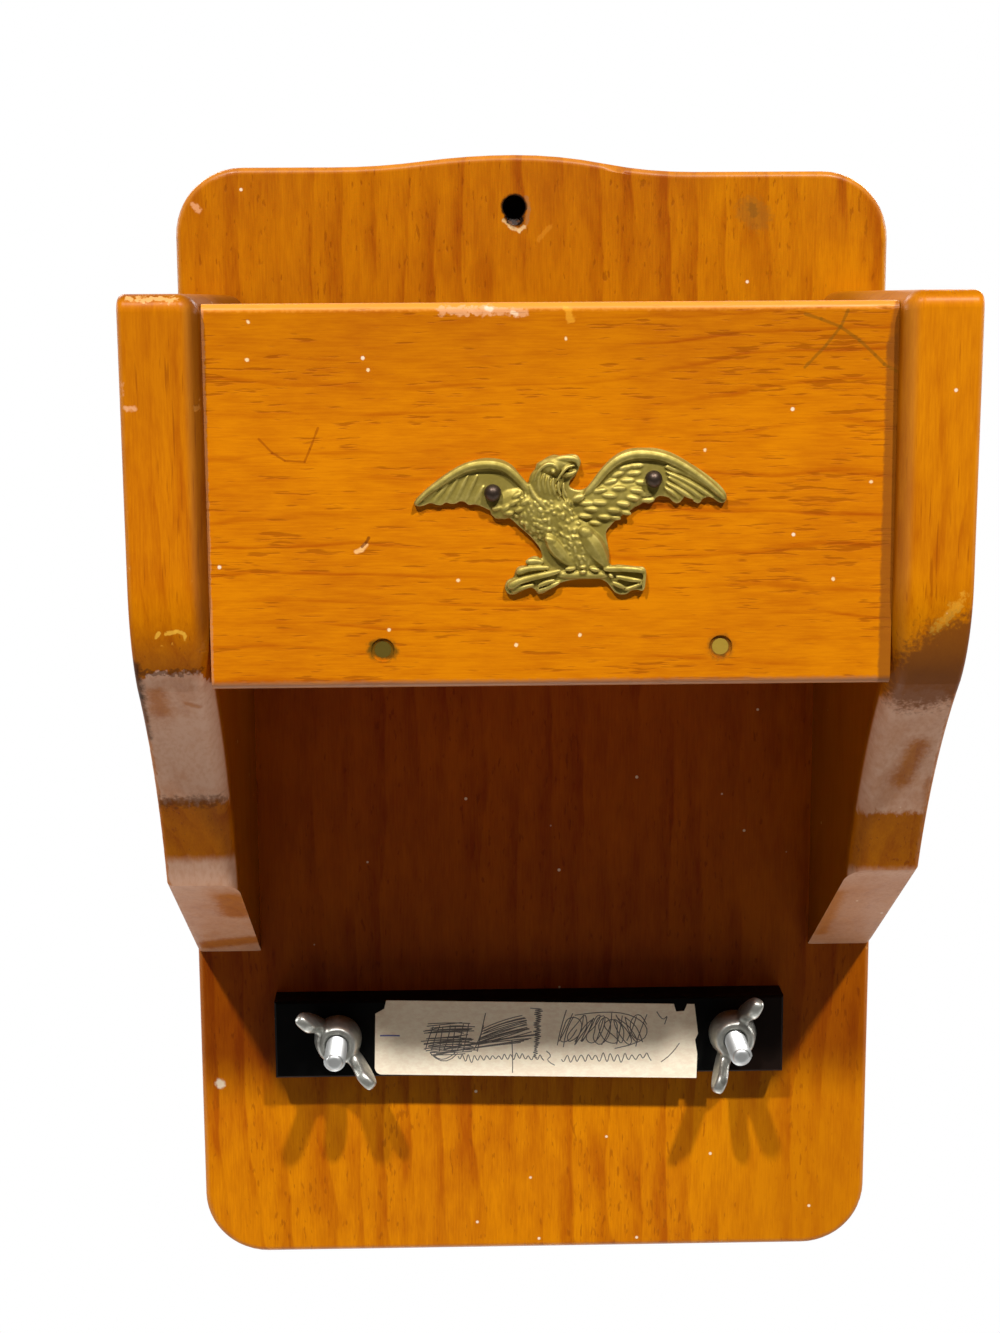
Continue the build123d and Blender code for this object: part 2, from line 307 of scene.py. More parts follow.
pale, tree, shader, place = material("pale_paint")
feed(tree, shader, Base_Color=(0.62, 0.61, 0.6, 1), Roughness=0.9)
seen = add(tree, "LightPath").outputs
glow = add(tree, "Emission", {"Color": white, "Strength": 1.0}).outputs[0]
show_either(tree, most(tree, seen["Is Camera Ray"], seen["Is Glossy Ray"]), shader.outputs[0], glow)
backdrop.data.materials.append(pale)
print("backdrop faces", len(backdrop.data.polygons))

# %% [markdown]
# ## The dark behind the hanging hole
# The wall right behind the hanging hole is dark in the photograph. A small disc of painted shade stands
# in for that shaded wall. It belongs to the room, shows only through the hole, and is clear from behind.

# %% Wall shade disc
spot_radius = 0.008
behind_board = 0.0006
disc = bmesh.new()
upright = Matrix.Translation((0, behind_board, 0)) @ Matrix.Rotation(math.pi / 2, 4, "X")
bmesh.ops.create_circle(disc, cap_ends=True, radius=spot_radius, segments=24, matrix=upright)
wall_shade_disc = placed(disc, "wall_shade_disc")
shade, tree, shader, place = material("wall_shade")
feed(tree, shader, Base_Color=(0.012, 0.010, 0.008, 1), Roughness=0.9)
show_either(tree, add(tree, "NewGeometry").outputs["Backfacing"], shader.outputs[0],
            add(tree, "BsdfTransparent").outputs[0])
wall_shade_disc.data.materials.append(shade)
print("wall spot faces towards", tuple(round(v) for v in wall_shade_disc.data.polygons[0].normal))

# %% World
world = bpy.data.worlds.new("studio")
world.use_nodes = True
tree = world.node_tree
dim = tree.nodes["Background"]
fill(tree, dim.inputs, {"Color": (1.0, 0.93, 0.85, 1), "Strength": 0.085})
plain = add(tree, "Background", {"Color": white, "Strength": 1.0}).outputs[0]
show_either(tree, add(tree, "LightPath").outputs["Is Camera Ray"], dim.outputs[0], plain, "World Output")
bpy.context.scene.world = world
bpy.context.scene.view_settings.view_transform = "Standard"
print("world ready")

# %% [markdown]
# ## The lights
# Two soft lamps stand left and right of the camera, about 50 degrees up: the shadow of the pocket
# falls about 1.3 times as far down the board as the pocket is deep, and both lamps have left an
# edge of it. A card below brightens the undersides, and two lamps behind light the other sides. A
# lamp's level is the share of full brightness that it gives a white surface that faces the room.

# %% Soft lamps
aim = Vector((0, -60, -150)) * mm


def lamp(name, azimuth, elevation, distance, size, level):
    """An area light aimed at the rack. Azimuth is from the front towards +X, in degrees."""
    azimuth = math.radians(azimuth)
    elevation = math.radians(elevation)
    away = Vector((math.sin(azimuth) * math.cos(elevation), -math.cos(azimuth) * math.cos(elevation),
                   math.sin(elevation)))
    light = bpy.data.lights.new(name, "AREA")
    light.shape = "DISK"
    light.size = size
    light.energy = level * math.pi ** 2 * distance ** 2
    made = bpy.data.objects.new(name, light)
    turned = away.to_track_quat("Z", "Y").to_matrix().to_4x4()
    made.matrix_world = Matrix.Translation(aim + away * distance) @ turned
    made.visible_camera = False
    bpy.context.collection.objects.link(made)


# A lamp that stands high and to the side meets the rack's face at a slant, so it needs more power.
facing = math.cos(math.radians(50)) * math.cos(math.radians(24))
lamp("left_lamp", -23, 50.4, 3.2, 0.13, 0.46 / facing)
lamp("right_lamp", 26, 49.9, 3.2, 0.13, 0.54 / facing)
lamp("low_card", 180, -84, 1.2, 0.5, 0.16)
lamp("side_left", -112, 12, 2.0, 0.7, 0.35)
lamp("side_right", 112, 12, 2.0, 0.7, 0.35)
lamp("back_left", -150, 35, 2.0, 0.7, 0.40)
lamp("back_right", 150, 25, 2.0, 0.7, 0.40)
print("lamps", len(bpy.data.lights))

# %% [markdown]
# ## Pine figure
# Pine shows its structure at four scales: growth rings, which are soft bands or thin wavy lines on a
# face; clouds where the varnish went on thicker; short dark dashes where the late wood is cut at a
# shallow angle; and fine fibres. A real board is a slice of a trunk, so the rings are drawn as tubes
# around the tree's centre line, and the same pattern then meets correctly at faces and ends.
# Stretching the noise along the grain makes fibres and dashes. The group expects the grain along Z.

# %% Wood figure group
ring_end = 0.92
wide_wander = 0.026
small_wander = 0.0026

wood_figure, start, end = group(
    "wood_figure", ["Bands", "Fibres", "Dashes", "Mottle"], Vector=(0, 0, 0), Pith=(0, 0, 0),
    Ring_Width=0.006, Late_Wood=0.4, Dash_Scale=(1500, 1500, 130), Dash_Amount=0.5)
tree, spot = wood_figure, start["Vector"]
flat = vector_calc(tree, "MULTIPLY", vector_calc(tree, "SUBTRACT", spot, start["Pith"]), (1, 1, 0.02))
reach = plus(tree, vector_calc(tree, "LENGTH", flat),
             times(tree, stretched(tree, spot, (22, 22, 6), 3.0), wide_wander),
             times(tree, stretched(tree, spot, (150, 150, 45), 2.0), small_wander))
ring = calc(tree, "FRACT", calc(tree, "DIVIDE", reach, start["Ring Width"]))
rise = fade(tree, ring, less(tree, ring_end, start["Late Wood"]), ring_end)
fall = fade(tree, ring, ring_end, 1.0, 1.0, 0.0)
patches = stretched(tree, spot, (90, 90, 18), 2.0)
strong = fade(tree, patches, 0.38, 0.62, 0.15, 1.0)
dashes = plus(tree, stretched(tree, spot, start["Dash Scale"], 2.0),
              times(tree, start["Dash Amount"], 0.14), times(tree, patches, 0.34))
fill(tree, end, {
    "Bands": times(tree, rise, fall, strong),
    "Fibres": stretched(tree, spot, (2000, 2000, 120), 3.0, 0.65),
    "Dashes": fade(tree, dashes, 0.84, 0.94),
    "Mottle": stretched(tree, spot, (330, 330, 90), 3.0, 0.6)})
print("wood figure nodes", len(tree.nodes))

# %% [markdown]
# ## Wear and a painted highlight on the arrises
# Handling wears varnish first where two faces meet. On a rounded arris the surface faces neither way
# squarely, so its normal tells where it is: the board's axis is the direction through its thickness,
# and a normal that is neither along it nor across it lies on an arris. Noise breaks the band up.
# The whole band is also a little paler, which is a faint painted highlight; where the noise breaks it up,
# it is wear.

# %% Arris wear and highlight group
arris_sheen_and_wear, start, end = group(
    "arris_sheen_and_wear", ["Arris", "Worn"], Vector=(0, 0, 0), Normal=(0, 0, 1), Board_Axis=(0, 1, 0), Amount=0.5)
tree = arris_sheen_and_wear
along = calc(tree, "ABSOLUTE", vector_calc(tree, "DOT_PRODUCT", start["Normal"], start["Board Axis"]))
across = calc(tree, "SQRT", most(tree, rest(tree, times(tree, along, along)), 0.0))
arris = fade(tree, most(tree, along, across), 0.86, 0.995, 1.0, 0.0)
limit = less(tree, 0.85, times(tree, start["Amount"], 0.45))
chipped = fade(tree, less(tree, noise(tree, start["Vector"], 130.0, 4.0, 0.65), limit), 0.0, 0.04)
fill(tree, end, {"Arris": arris, "Worn": times(tree, arris, chipped)})
print("arris wear nodes", len(tree.nodes))

# %% [markdown]
# ## Dust and lint
# White specks lie all over the old varnish. A Voronoi texture scatters points through space, and the
# distance to the nearest one makes a small ball wherever it is short; the surface cuts some of them,
# so the specks differ in size, as real ones do.

# %% Speck group
specks, start, end = group("specks", ["Specks"], Vector=(0, 0, 0), Spacing=0.009, Size=0.0005)
tree = specks
scattered = add(tree, "TexVoronoi", {"Vector": start["Vector"],
                                     "Scale": calc(tree, "DIVIDE", 1.0, start["Spacing"])})
near = calc(tree, "DIVIDE", times(tree, scattered.outputs["Distance"], start["Spacing"]), start["Size"])
fill(tree, end, {"Specks": fade(tree, near, 0.55, 1.0, 1.0, 0.0)})
print("speck nodes", len(tree.nodes))

# %% [markdown]
# ## Single marks
# A dent, a scratch or a chip is a short stroke: every point within a given distance of the line
# between two places is inside it. A rough value, which is one noise shared by all the marks of a board,
# makes the edge ragged. A hair scratch is a chain of strokes, and a round mark has two equal places.

# %% Stroke group
stroke_mark, start, end = group(
    "stroke_mark", ["Mark"], Vector=(0, 0, 0), From=(0, 0, 0), To=(0, 0, 0.001), Width=0.001, Rough=0.0,
    Soft=0.3)
tree = stroke_mark
line = vector_calc(tree, "SUBTRACT", start["To"], start["From"])
from_start = vector_calc(tree, "SUBTRACT", start["Vector"], start["From"])
length_squared = most(tree, vector_calc(tree, "DOT_PRODUCT", line, line), 1e-9)
share = calc(tree, "DIVIDE", vector_calc(tree, "DOT_PRODUCT", from_start, line), length_squared)
share = calc(tree, "MINIMUM", most(tree, share, 0.0), 1.0)
nearest = add(tree, "VectorMath", {0: line, "Scale": share}, operation="SCALE").outputs[0]
gap = vector_calc(tree, "LENGTH", vector_calc(tree, "SUBTRACT", from_start, nearest))
gap = plus(tree, calc(tree, "DIVIDE", gap, start["Width"]), start["Rough"])
inside = calc(tree, "DIVIDE", less(tree, 0.5, gap), start["Soft"])
fill(tree, end, {"Mark": fade(tree, inside, -0.5, 0.5)})
print("stroke nodes", len(tree.nodes))

# %% [markdown]
# ## The pale bloom and sheen on the brackets' undersides
# Where a bracket curves in under the pocket, it is pale and pinkish: partly bloom in its old varnish,
# partly a painted reflection of the bright floor below. The pale part starts at a sharp edge below the
# knee, stops at a clear brown band on the hollow, and covers the foot again. It leaves the rims bare,
# runs in streaks along the grain, and is thin in places.

# %% Bloom and sheen group
bloom_and_sheen, start, end = group(
    "bloom_and_sheen", ["Bloom_Sheen"], Vector=(0, 0, 0), Normal=(0, 0, 1), Middle=0.0, Top=-0.11, Top_Soft=0.001,
    Gap_Top=-0.15, Gap_Bottom=-0.17, Outwards=1.0)
tree, spot = bloom_and_sheen, start["Vector"]
where = parts(tree, spot)
outwards = times(tree, less(tree, where["X"], start["Middle"]), start["Outwards"])
ragged = stretched(tree, spot, (600, 600, 160), 3.0, 0.6)
height = plus(tree, where["Z"], swing(tree, ragged, 0.0065))
calm = plus(tree, where["Z"], swing(tree, ragged, 0.002))
corner = times(tree, fade(tree, calc(tree, "ABSOLUTE", outwards), 0.005, 0.0095), 0.003)
top_edge = less(tree, start["Top"], height, corner)
top = fade(tree, calc(tree, "DIVIDE", top_edge, start["Top Soft"]), -0.5, 0.5)
above = fade(tree, less(tree, height, start["Gap Top"]), -0.0022, 0.0002)
below = fade(tree, less(tree, start["Gap Bottom"], calm), -0.0016, 0.0022)
foot = fade(tree, where["Z"], -0.186, -0.178, 0.66, 1.0)
rims = fade(tree, plus(tree, outwards, swing(tree, ragged, 0.003)), 0.0082, 0.0089, 1.0, 0.35)
flanks = fade(tree, calc(tree, "ABSOLUTE", parts(tree, start["Normal"])["X"]), 0.86, 0.96, 1.0, 0.0)
clouds = fade(tree, stretched(tree, spot, (90, 90, 60), 4.0, 0.6), 0.3, 0.56, 0.68, 1.0)
streaks = fade(tree, stretched(tree, spot, (900, 900, 50), 2.0, 0.6), 0.3, 0.62, 0.8, 1.0)
fill(tree, end, {"Bloom_Sheen": times(tree, top, most(tree, above, below), rims, flanks, foot, clouds, streaks)})
print("haze nodes", len(tree.nodes))

# %% [markdown]
# ## Varnished pine
# All the boards share one recipe: amber pine under an old satin varnish. Each board has its own grain
# direction and its own place in the trunk. Tones are broad shifts of colour from one end of a board to
# the other; some of them are painted shade and some are painted light. Marks are laid over them in order,
# and the dust comes last. On a bracket, the painted shade on its inward sides and undersides also takes
# the gloss away, so its gloss is a coat that the shade thins.

# %% Varnished pine recipe
amber = linear(210, 123, 1)
amber_dark = linear(172, 82, 0)
dash_brown = linear(146, 68, 1)
worn_and_sheen_pale = linear(232, 166, 84)
bloom_and_sheen_pink = linear(214, 168, 140)
lint_white = linear(246, 226, 196)
painted_shade_tint = (0.22, 0.17, 0.5, 1)
painted_underside_shade = (0.6, 0.52, 0.5, 1)


def varnished_pine(name, grain, axis, pith, ring_width, late=0.4, dash_scale=(1500, 1500, 130), dashes=0.5,
                   ring_depth=0.45, wear=0.5, light=amber, dark=amber_dark, tones=(), marks=(), underside=None,
                   front=100):
    """A board's finish. Grain is the direction of the fibres and axis the direction through the board."""
    made, tree, shader, place = material(name)
    spot, normal = place["Object"], place["Normal"]
    where = parts(tree, spot)
    turn = {"Z": (0, 0, 0), "X": (0, math.pi / 2, 0)}[grain]
    turned = add(tree, "Mapping", {"Vector": spot, "Rotation": turn}).outputs[0]
    figure = use(tree, wood_figure, Vector=turned, Pith=pith, Ring_Width=ring_width, Late_Wood=late,
                 Dash_Scale=dash_scale, Dash_Amount=dashes)
    cloud = noise(tree, spot, 30.0, 3.0)
    tone = plus(tree, times(tree, figure["Bands"], ring_depth), swing(tree, cloud, 0.9),
                swing(tree, figure["Fibres"], 1.0), swing(tree, figure["Mottle"], 1.0), 0.25)
    colour = blend(tree, most(tree, tone, 0.0), light, dark)
    colour = blend(tree, times(tree, figure["Dashes"], 0.55), colour, dash_brown)
    for letter, (low, full), (fading, gone), amount, tint in tones:
        share = times(tree, fade(tree, where[letter], low * mm, full * mm, 0.0, amount),
                      fade(tree, where[letter], fading * mm, gone * mm, 1.0, 0.0),
                      fade(tree, where["Y"], (front + 1) * mm, (front + 4) * mm, 1.0, 0.0))
        colour = blend(tree, share, colour, (*tint, 1), "MULTIPLY")
    rough = plus(tree, 0.26, times(tree, cloud, 0.16))
    bare = 1.0
    if underside:
        facing = times(tree, parts(tree, normal)["X"], underside["inwards"])
        below = times(tree, fade(tree, where["Z"], (underside["top"] + 14) * mm, underside["top"] * mm),
                      fade(tree, facing, -0.96, -0.86))
        # Painted shade on the sides and rounded edges that face in towards the pocket, less of it below the
        # knee.
        inward_shade = most(tree, times(tree, fade(tree, facing, 0.1, 0.8, 0.0, underside["inward_shade_amount"]), rest(tree, below)),
                     fade(tree, facing, 0.9, 0.97, 0.0, 0.5))
        colour = blend(tree, inward_shade, colour, painted_shade_tint, "MULTIPLY")
        bare = rest(tree, most(tree, inward_shade, below, fade(tree, where["Z"], -0.085, -0.105, 0.0, 0.9),
                               fade(tree, where["Z"], -0.030, -0.026, 0.0, 0.7)))
    arris_masks = use(tree, arris_sheen_and_wear, Vector=spot, Normal=normal, Board_Axis=axis, Amount=wear)
    # A faint painted highlight along every arris, with paler wear where the band is broken up.
    for kind, amount in (("Arris", 0.16), ("Worn", 0.7)):
        colour = blend(tree, times(tree, arris_masks[kind], bare, amount), colour, worn_and_sheen_pale)
    edge = less(tree, noise(tree, spot, 900.0, 2.0), 0.5)

    def stroke(first, last, width, ragged, soft, strength):
        """How much of a mark lies at each place."""
        return times(tree, use(tree, stroke_mark, Vector=spot, From=first, To=last, Width=width * mm,
                               Rough=times(tree, edge, ragged), Soft=soft)["Mark"], strength)

    if underside:
        # A pale pinkish bloom and sheen on the undersides: partly bloom in the old varnish, partly a
        # painted reflection of the bright floor below.
        bloom_and_sheen_mask = use(tree, bloom_and_sheen, Vector=spot, Normal=normal, Middle=underside["middle"], Top=underside["top"] * mm,
                   Top_Soft=underside["soft"] * mm, Gap_Top=underside["gap_top"] * mm,
                   Gap_Bottom=underside["gap_bottom"] * mm, Outwards=-underside["inwards"])["Bloom_Sheen"]
        for first, last, width, soft, strength in underside["thin"]:
            bloom_and_sheen_mask = times(tree, bloom_and_sheen_mask, rest(tree, stroke(first, last, width, 0.5, soft, strength)))
        # Painted shade on the undersides below the knee.
        colour = blend(tree, times(tree, below, 0.6), colour, painted_underside_shade, "MULTIPLY")
        colour = blend(tree, bloom_and_sheen_mask, colour, bloom_and_sheen_pink)
        rough = plus(tree, rough, times(tree, bloom_and_sheen_mask, 0.12))
    for first, last, width, ragged, tint, strength, soft in marks:
        colour = blend(tree, stroke(first, last, width, ragged, soft, strength), colour, tint)
    dots = use(tree, specks, Vector=spot, Spacing=0.013, Size=0.00058)
    colour = blend(tree, times(tree, dots["Specks"], 0.85), colour, lint_white)
    height = less(tree, times(tree, figure["Fibres"], 0.3), figure["Dashes"],
                  times(tree, arris_masks["Worn"], 1.5))
    gloss = {"Specular_IOR_Level": 0.15, "Coat_Weight": 0.02, "Coat_Roughness": 0.15}
    if underside:
        gloss = {"Specular_IOR_Level": 0.04, "Coat_Weight": times(tree, bare, 0.3), "Coat_Roughness": 0.34}
    feed(tree, shader, Base_Color=colour, Roughness=rough, Normal=bumped(tree, height, 0.2, 0.0003),
         **gloss)
    print(name, "nodes", len(tree.nodes))
    return made


print("recipe ready")

# %% [markdown]
# ## The marks
# The marks follow the photograph: a dent, three hair scratches and a chipped upper arris on the panel,
# bare wood under the hanging hole, a stain, chips and a crackled patch on the left bracket. Some marks
# are painted light and shade instead, as the notes beside them say. Each mark is a start, an end, a
# width in millimetres, how ragged it is, its colour and its strength.

# %% Marks
hair = linear(128, 80, 10)
dent_pale = linear(240, 182, 112)
chip_pink = linear(222, 158, 108)
bare_wood = linear(222, 186, 130)
gold_fleck = linear(244, 182, 60)
painted_hole_shade = linear(20, 11, 5)
grime_dark = linear(62, 32, 10)


def trail(points, depth, width, ragged, tint, strength, soft=0.4):
    """A chain of strokes through places in x and z, at one depth."""
    spots = [(x * mm, depth, z * mm) for x, z in points]
    return [(first, last, width, ragged, tint, strength, soft) for first, last in zip(spots, spots[1:])]


def lint(places, depth):
    """Single white specks at places in x and z."""
    pale = linear(250, 222, 170)
    return [mark for place in places for mark in trail([place, place], depth, 0.8, 0.9, pale, 0.8)]


panel_marks = (
    # Painted highlight along the panel's upper arris.
    trail([(-77.1, -27.2), (88.0, -27.2)], panel_face + 0.7 * mm, 2.6, 0.5, linear(240, 160, 60), 0.45)
    # A pale line on the panel's lower arris, partly bloom in the varnish and partly painted reflection.
    + trail([(-77.1, -118.8), (88.0, -118.8)], panel_face + 0.6 * mm, 3.4, 0.3, linear(176, 116, 76), 0.8)
    + trail([(-76.9, -27.0), (-76.9, -118.0)], panel_face, 0.7, 1.5, linear(190, 130, 90), 0.55)
    # Painted shadow of the right bracket, a strip down the panel's right end.
    + trail([(90.6, -28.6), (89.0, -38.0), (88.9, -119.0)], panel_face, 7.8, 0.1, linear(134, 74, 18),
            0.78, 0.1)
    + trail([(-20.7, -28.2), (-13.8, -28.6), (-9.4, -28.4)], panel_face, 2.0, 1.8, chip_pink, 0.8)
    + trail([(-9.4, -28.2), (-3.5, -28.9), (-1.1, -29.2)], panel_face, 1.6, 1.8, chip_pink, 0.75)
    + trail([(-9.8, -27.9), (-9.0, -28.2)], panel_face, 1.2, 0.6, linear(226, 206, 180), 0.7)
    + trail([(-3.9, -29.0), (-2.9, -29.3)], panel_face, 1.0, 0.6, linear(236, 206, 170), 0.7)
    + trail([(9.1, -28.4), (10.0, -30.6)], panel_face, 1.8, 1.2, linear(246, 176, 50), 0.4)
    + trail([(65.5, -29.7), (69.3, -30.9), (73.9, -32.7), (78.5, -35.9), (82.4, -39.4), (84.6, -41.6),
             (87.6, -43.2)], panel_face, 0.75, 0.5, hair, 0.6)
    + trail([(75.7, -28.9), (74.1, -32.6), (70.7, -37.0), (65.7, -42.2)], panel_face, 0.7, 0.5, hair, 0.6)
    + trail([(-64.3, -58.3), (-61.2, -61.6), (-58.2, -63.5), (-53.5, -63.8), (-52.2, -60.7),
             (-50.2, -55.8)], panel_face, 0.5, 0.6, dash_brown, 0.6)
    + trail([(-41.6, -85.4), (-40.4, -85.0), (-39.3, -83.8)], panel_face, 1.1, 0.4, dent_pale, 0.85)
    # The dent's painted shadow, a dark arc beside its pale crescent.
    + trail([(-40.2, -84.2), (-39.2, -83.2), (-38.6, -82.1)], panel_face, 0.7, 0.3, linear(120, 58, 6), 0.8)
    + trail([(-37.0, -109.2), (-34.4, -109.5)], panel_face, 4.6, 0.5, linear(90, 66, 12), 0.9)
    # Painted shade in the gap round the right nail's head, seen as a dark ring.
    + trail([(46.4, -109.3), (46.4, -109.4)], panel_face, 5.6, 0.35, linear(84, 62, 22), 0.8)
    + lint([(-66.6, -39.7), (-66.1, -30.8), (-38.1, -42.2), (-17.2, -92.5), (-34.0, -104.5), (-3.3, -108.5),
            (8.8, -35.2), (42.1, -61.7), (73.5, -93.0), (82.2, -69.6), (12.2, -106.2)], panel_face))
board_marks = (
    trail([(3.6, -4.4), (4.2, -0.4), (3.5, 2.6)], board_face, 1.1, 0.9, linear(150, 106, 66), 0.5)
    + trail([(-2.9, -3.8), (-1.2, -5.5), (1.4, -6.6), (2.8, -5.6)], board_face, 1.0, 1.3, bare_wood, 0.75)
    # Painted shade in the hanging hole and on its lower rim.
    + [((0, board_face, 0), (0, 0, 0), 7.4, 0.12, painted_hole_shade, 0.97, 0.1)]
    + trail([(-0.5, -3.0), (0.7, -3.4)], board_face, 3.8, 0.3, painted_hole_shade, 0.97, 0.2)
    + trail([(-0.5, -3.0), (0.7, -3.4)], board_face + 2.2 * mm, 6.0, 0.3, painted_hole_shade, 0.97, 0.2)
    # Painted shade, a broad darker patch at the board's lower right.
    + trail([(92.0, -270.0), (92.0, -330.0)], board_face, 50.0, 0.1, linear(160, 80, 1), 0.45, 1.0)
    + trail([(67.4, -1.2), (69.6, -3.2)], board_face, 7.5, 0.7, linear(146, 92, 24), 0.5)
    + trail([(68.0, -0.6), (68.6, -2.0)], board_face, 2.6, 1.2, linear(112, 74, 22), 0.5)
    + trail([(6.8, -9.3), (10.3, -5.4)], board_face, 1.2, 1.2, linear(226, 150, 40), 0.25)
    + trail([(-90.9, 1.2), (-89.4, -0.6)], board_face, 1.5, 1.2, chip_pink, 0.75)
    + trail([(-90.8, -260.5), (-90.6, -260.9)], board_face, 2.6, 0.5, lint_white, 0.9))
left_marks = (
    trail([(-96.0, -50.2), (-94.4, -50.8), (-92.6, -50.6)], bracket_face, 1.3, 0.8, chip_pink, 0.9)
    + trail([(-95.9, -43.0), (-95.5, -47.0)], bracket_face, 1.2, 1.2, chip_pink, 0.7)
    + trail([(-95.8, -73.4), (-93.4, -73.6)], bracket_face, 0.9, 1.2, gold_fleck, 0.7)
    + trail([(-93.0, -25.0), (-83.0, -25.4)], bracket_face + 1.0 * mm, 1.7, 2.2, linear(226, 176, 110),
            0.65)
    + trail([(-91.4, -111.0), (-90.6, -106.6), (-89.0, -104.2)],
            bracket_face + 3 * mm, 0.9, 1.2, gold_fleck, 0.8)
    + trail([(-87.4, -104.6), (-85.0, -103.8), (-83.0, -104.4), (-82.6, -108.6)],
            bracket_face + 3 * mm, 0.9, 1.2, gold_fleck, 0.8)
    + trail([(-88.6, -107.6), (-87.2, -108.4), (-86.0, -107.2)],
            bracket_face + 3.6 * mm, 0.7, 1.4, gold_fleck, 0.7)
    + trail([(-95.4, -114.9), (-79.0, -114.5)], -125.6 * mm, 1.7, 2.4, linear(84, 42, 8), 0.6)
    + [((-96.1 * mm, -0.1262, -0.1130), (-96.1 * mm, -0.1195, -0.1215), 3.6, 0.6, grime_dark, 0.8, 0.5),
       ((-96.1 * mm, -0.1195, -0.1215), (-96.1 * mm, -0.1080, -0.1350), 2.6, 0.6, grime_dark, 0.7, 0.6)]
    + [((-95.6 * mm, -0.0938, -0.1548), (-78.4 * mm, -0.0938, -0.1545), 3.4, 1.8, linear(88, 44, 10),
        0.6, 0.7)])
right_marks = (
    # Painted shade on the right bracket's knee, where it turns down.
    trail([(105.4, -112.0), (97.6, -121.6)], -125.0 * mm, 24.0, 0.5, linear(120, 64, 18), 0.84, 0.25)
    + trail([(104.5, -97.0), (98.0, -105.5)], -131.0 * mm, 2.4, 1.8, gold_fleck, 0.35))
left_thin = [
    ((-91.6 * mm, -0.1205, -0.1205), (-91.2 * mm, -0.1155, -0.1262), 5.0, 0.8, 0.75),
    ((-84.6 * mm, -0.1180, -0.1240), (-81.8 * mm, -0.1165, -0.1246), 1.6, 0.6, 0.6),
    ((-80.6 * mm, -0.0700, -0.1865), (-80.2 * mm, -0.0560, -0.1955), 9.0, 0.5, 0.8),
    ((-92.0 * mm, -0.0260, -0.2140), (-78.6 * mm, -0.0300, -0.2105), 9.0, 0.5, 0.85)]
right_thin = [
    ((100.7 * mm, -0.1045, -0.1395), (98.3 * mm, -0.0965, -0.1500), 5.6, 0.8, 0.85),
    ((88.6 * mm, -0.0640, -0.1900), (90.0 * mm, -0.0300, -0.2120), 4.0, 0.9, 0.7),
    ((106.0 * mm, -0.0960, -0.1510), (106.6 * mm, -0.0910, -0.1590), 3.0, 0.8, 0.6)]
print("marks", len(panel_marks), len(board_marks), len(left_marks), len(right_marks))

# %% [markdown]
# ## The boards' finishes
# The back board's grain runs up and down, the panel's and the pocket floor's across, and the brackets'
# up and down. The back board's colour carries painted shade over its upper part and where the pocket's
# shadow falls, and painted light below that shadow and towards its right. Painted shade also darkens
# the brackets' inward sides, and a painted shadow runs down the panel's right end.

# %% Board finishes
dress("back_board", varnished_pine(
    "board_pine", "Z", (0, 1, 0), (-0.26, 0.02, 0), 0.0095, 0.75, (900, 900, 230), 0.32, 0.58, 0.35,
    light=linear(210, 120, 1), dark=linear(168, 78, 0),
    # Painted shade: the board's upper part is darker.
    tones=[("Z", (-110, -90), (50, 60), 1.0, (0.76, 0.81, 0.5)),
           # Painted shade: the pocket's shadow down the board.
           ("Z", (-260, -250), (-110, -90), 1.0, (0.63, 0.465, 0.4)),
           # Painted light: the lit strip below that shadow, lighter and yellower.
           ("Z", (-400, -390), (-266, -258), 1.0, (1.02, 1.12, 0.5)),
           # Painted light: the board is lighter towards the right.
           ("X", (30, 85), (150, 160), 1.0, (1.11, 1.2, 1.0))],
    marks=board_marks, front=board_face / mm))
dress("front_panel", varnished_pine(
    "panel_pine", "X", (0, 1, 0), (0.16, 0.05, 0), 0.0062, 0.16, (1200, 1200, 120), 0.45, 0.5, 0.3,
    tones=[("Z", (-62, -30), (10, 20), 0.8, (0.82, 0.79, 0.7))],
    marks=panel_marks))
dress("pocket_floor", varnished_pine("floor_pine", "X", (0, 0, 1), (0.02, 0.06, 0), 0.007, 0.4))
dress("left_bracket", varnished_pine(
    "left_pine", "Z", (1, 0, 0), (-0.20, 0.02, 0), 0.0052, 0.5, (1300, 1300, 60), 0.15, 0.35, 0.45,
    light=linear(206, 120, 1), dark=linear(168, 80, 0),
    tones=[("Z", (-75, -40), (10, 20), 1.0, (0.87, 0.85, 0.8)),
           ("Z", (-26.6, -24.8), (10, 20), 1.0, (0.66, 0.66, 0.6))],
    marks=left_marks,
    underside={"middle": -0.08668, "top": -114.6, "soft": 1.0, "gap_top": -153.5, "gap_bottom": -172.4,
          "inwards": 1.0, "inward_shade_amount": 0.8, "thin": left_thin}))
dress("right_bracket", varnished_pine(
    "right_pine", "Z", (1, 0, 0), (0.21, -0.05, 0), 0.0052, 0.5, (1300, 1300, 60), 0.1, 0.3, 0.3,
    light=linear(208, 124, 1), dark=linear(172, 86, 0),
    tones=[("Z", (-26.6, -24.8), (10, 20), 1.0, (0.7, 0.7, 0.6))], marks=right_marks,
    underside={"middle": 0.09748, "top": -122.0, "soft": 4.5, "gap_top": -159.5, "gap_bottom": -178.4,
          "inwards": -1.0, "inward_shade_amount": 0.35, "thin": right_thin}))
print("boards dressed")

# %% [markdown]
# ## Shapes by curve, pebble and voxel
# Stamped and cast metal has no hard lines: every form runs into the next. Such a piece is easiest to
# build as a sculptor would, from overlapping strips and pebbles, which are then fused. A curve with a
# radius at each point makes a tapering strip, a squashed sphere makes a pebble, and a voxel remesh
# joins whatever overlaps into one skin that a few rounds of smoothing soften. The building is done in
# millimetres, facing the reader, and scaled at the end.

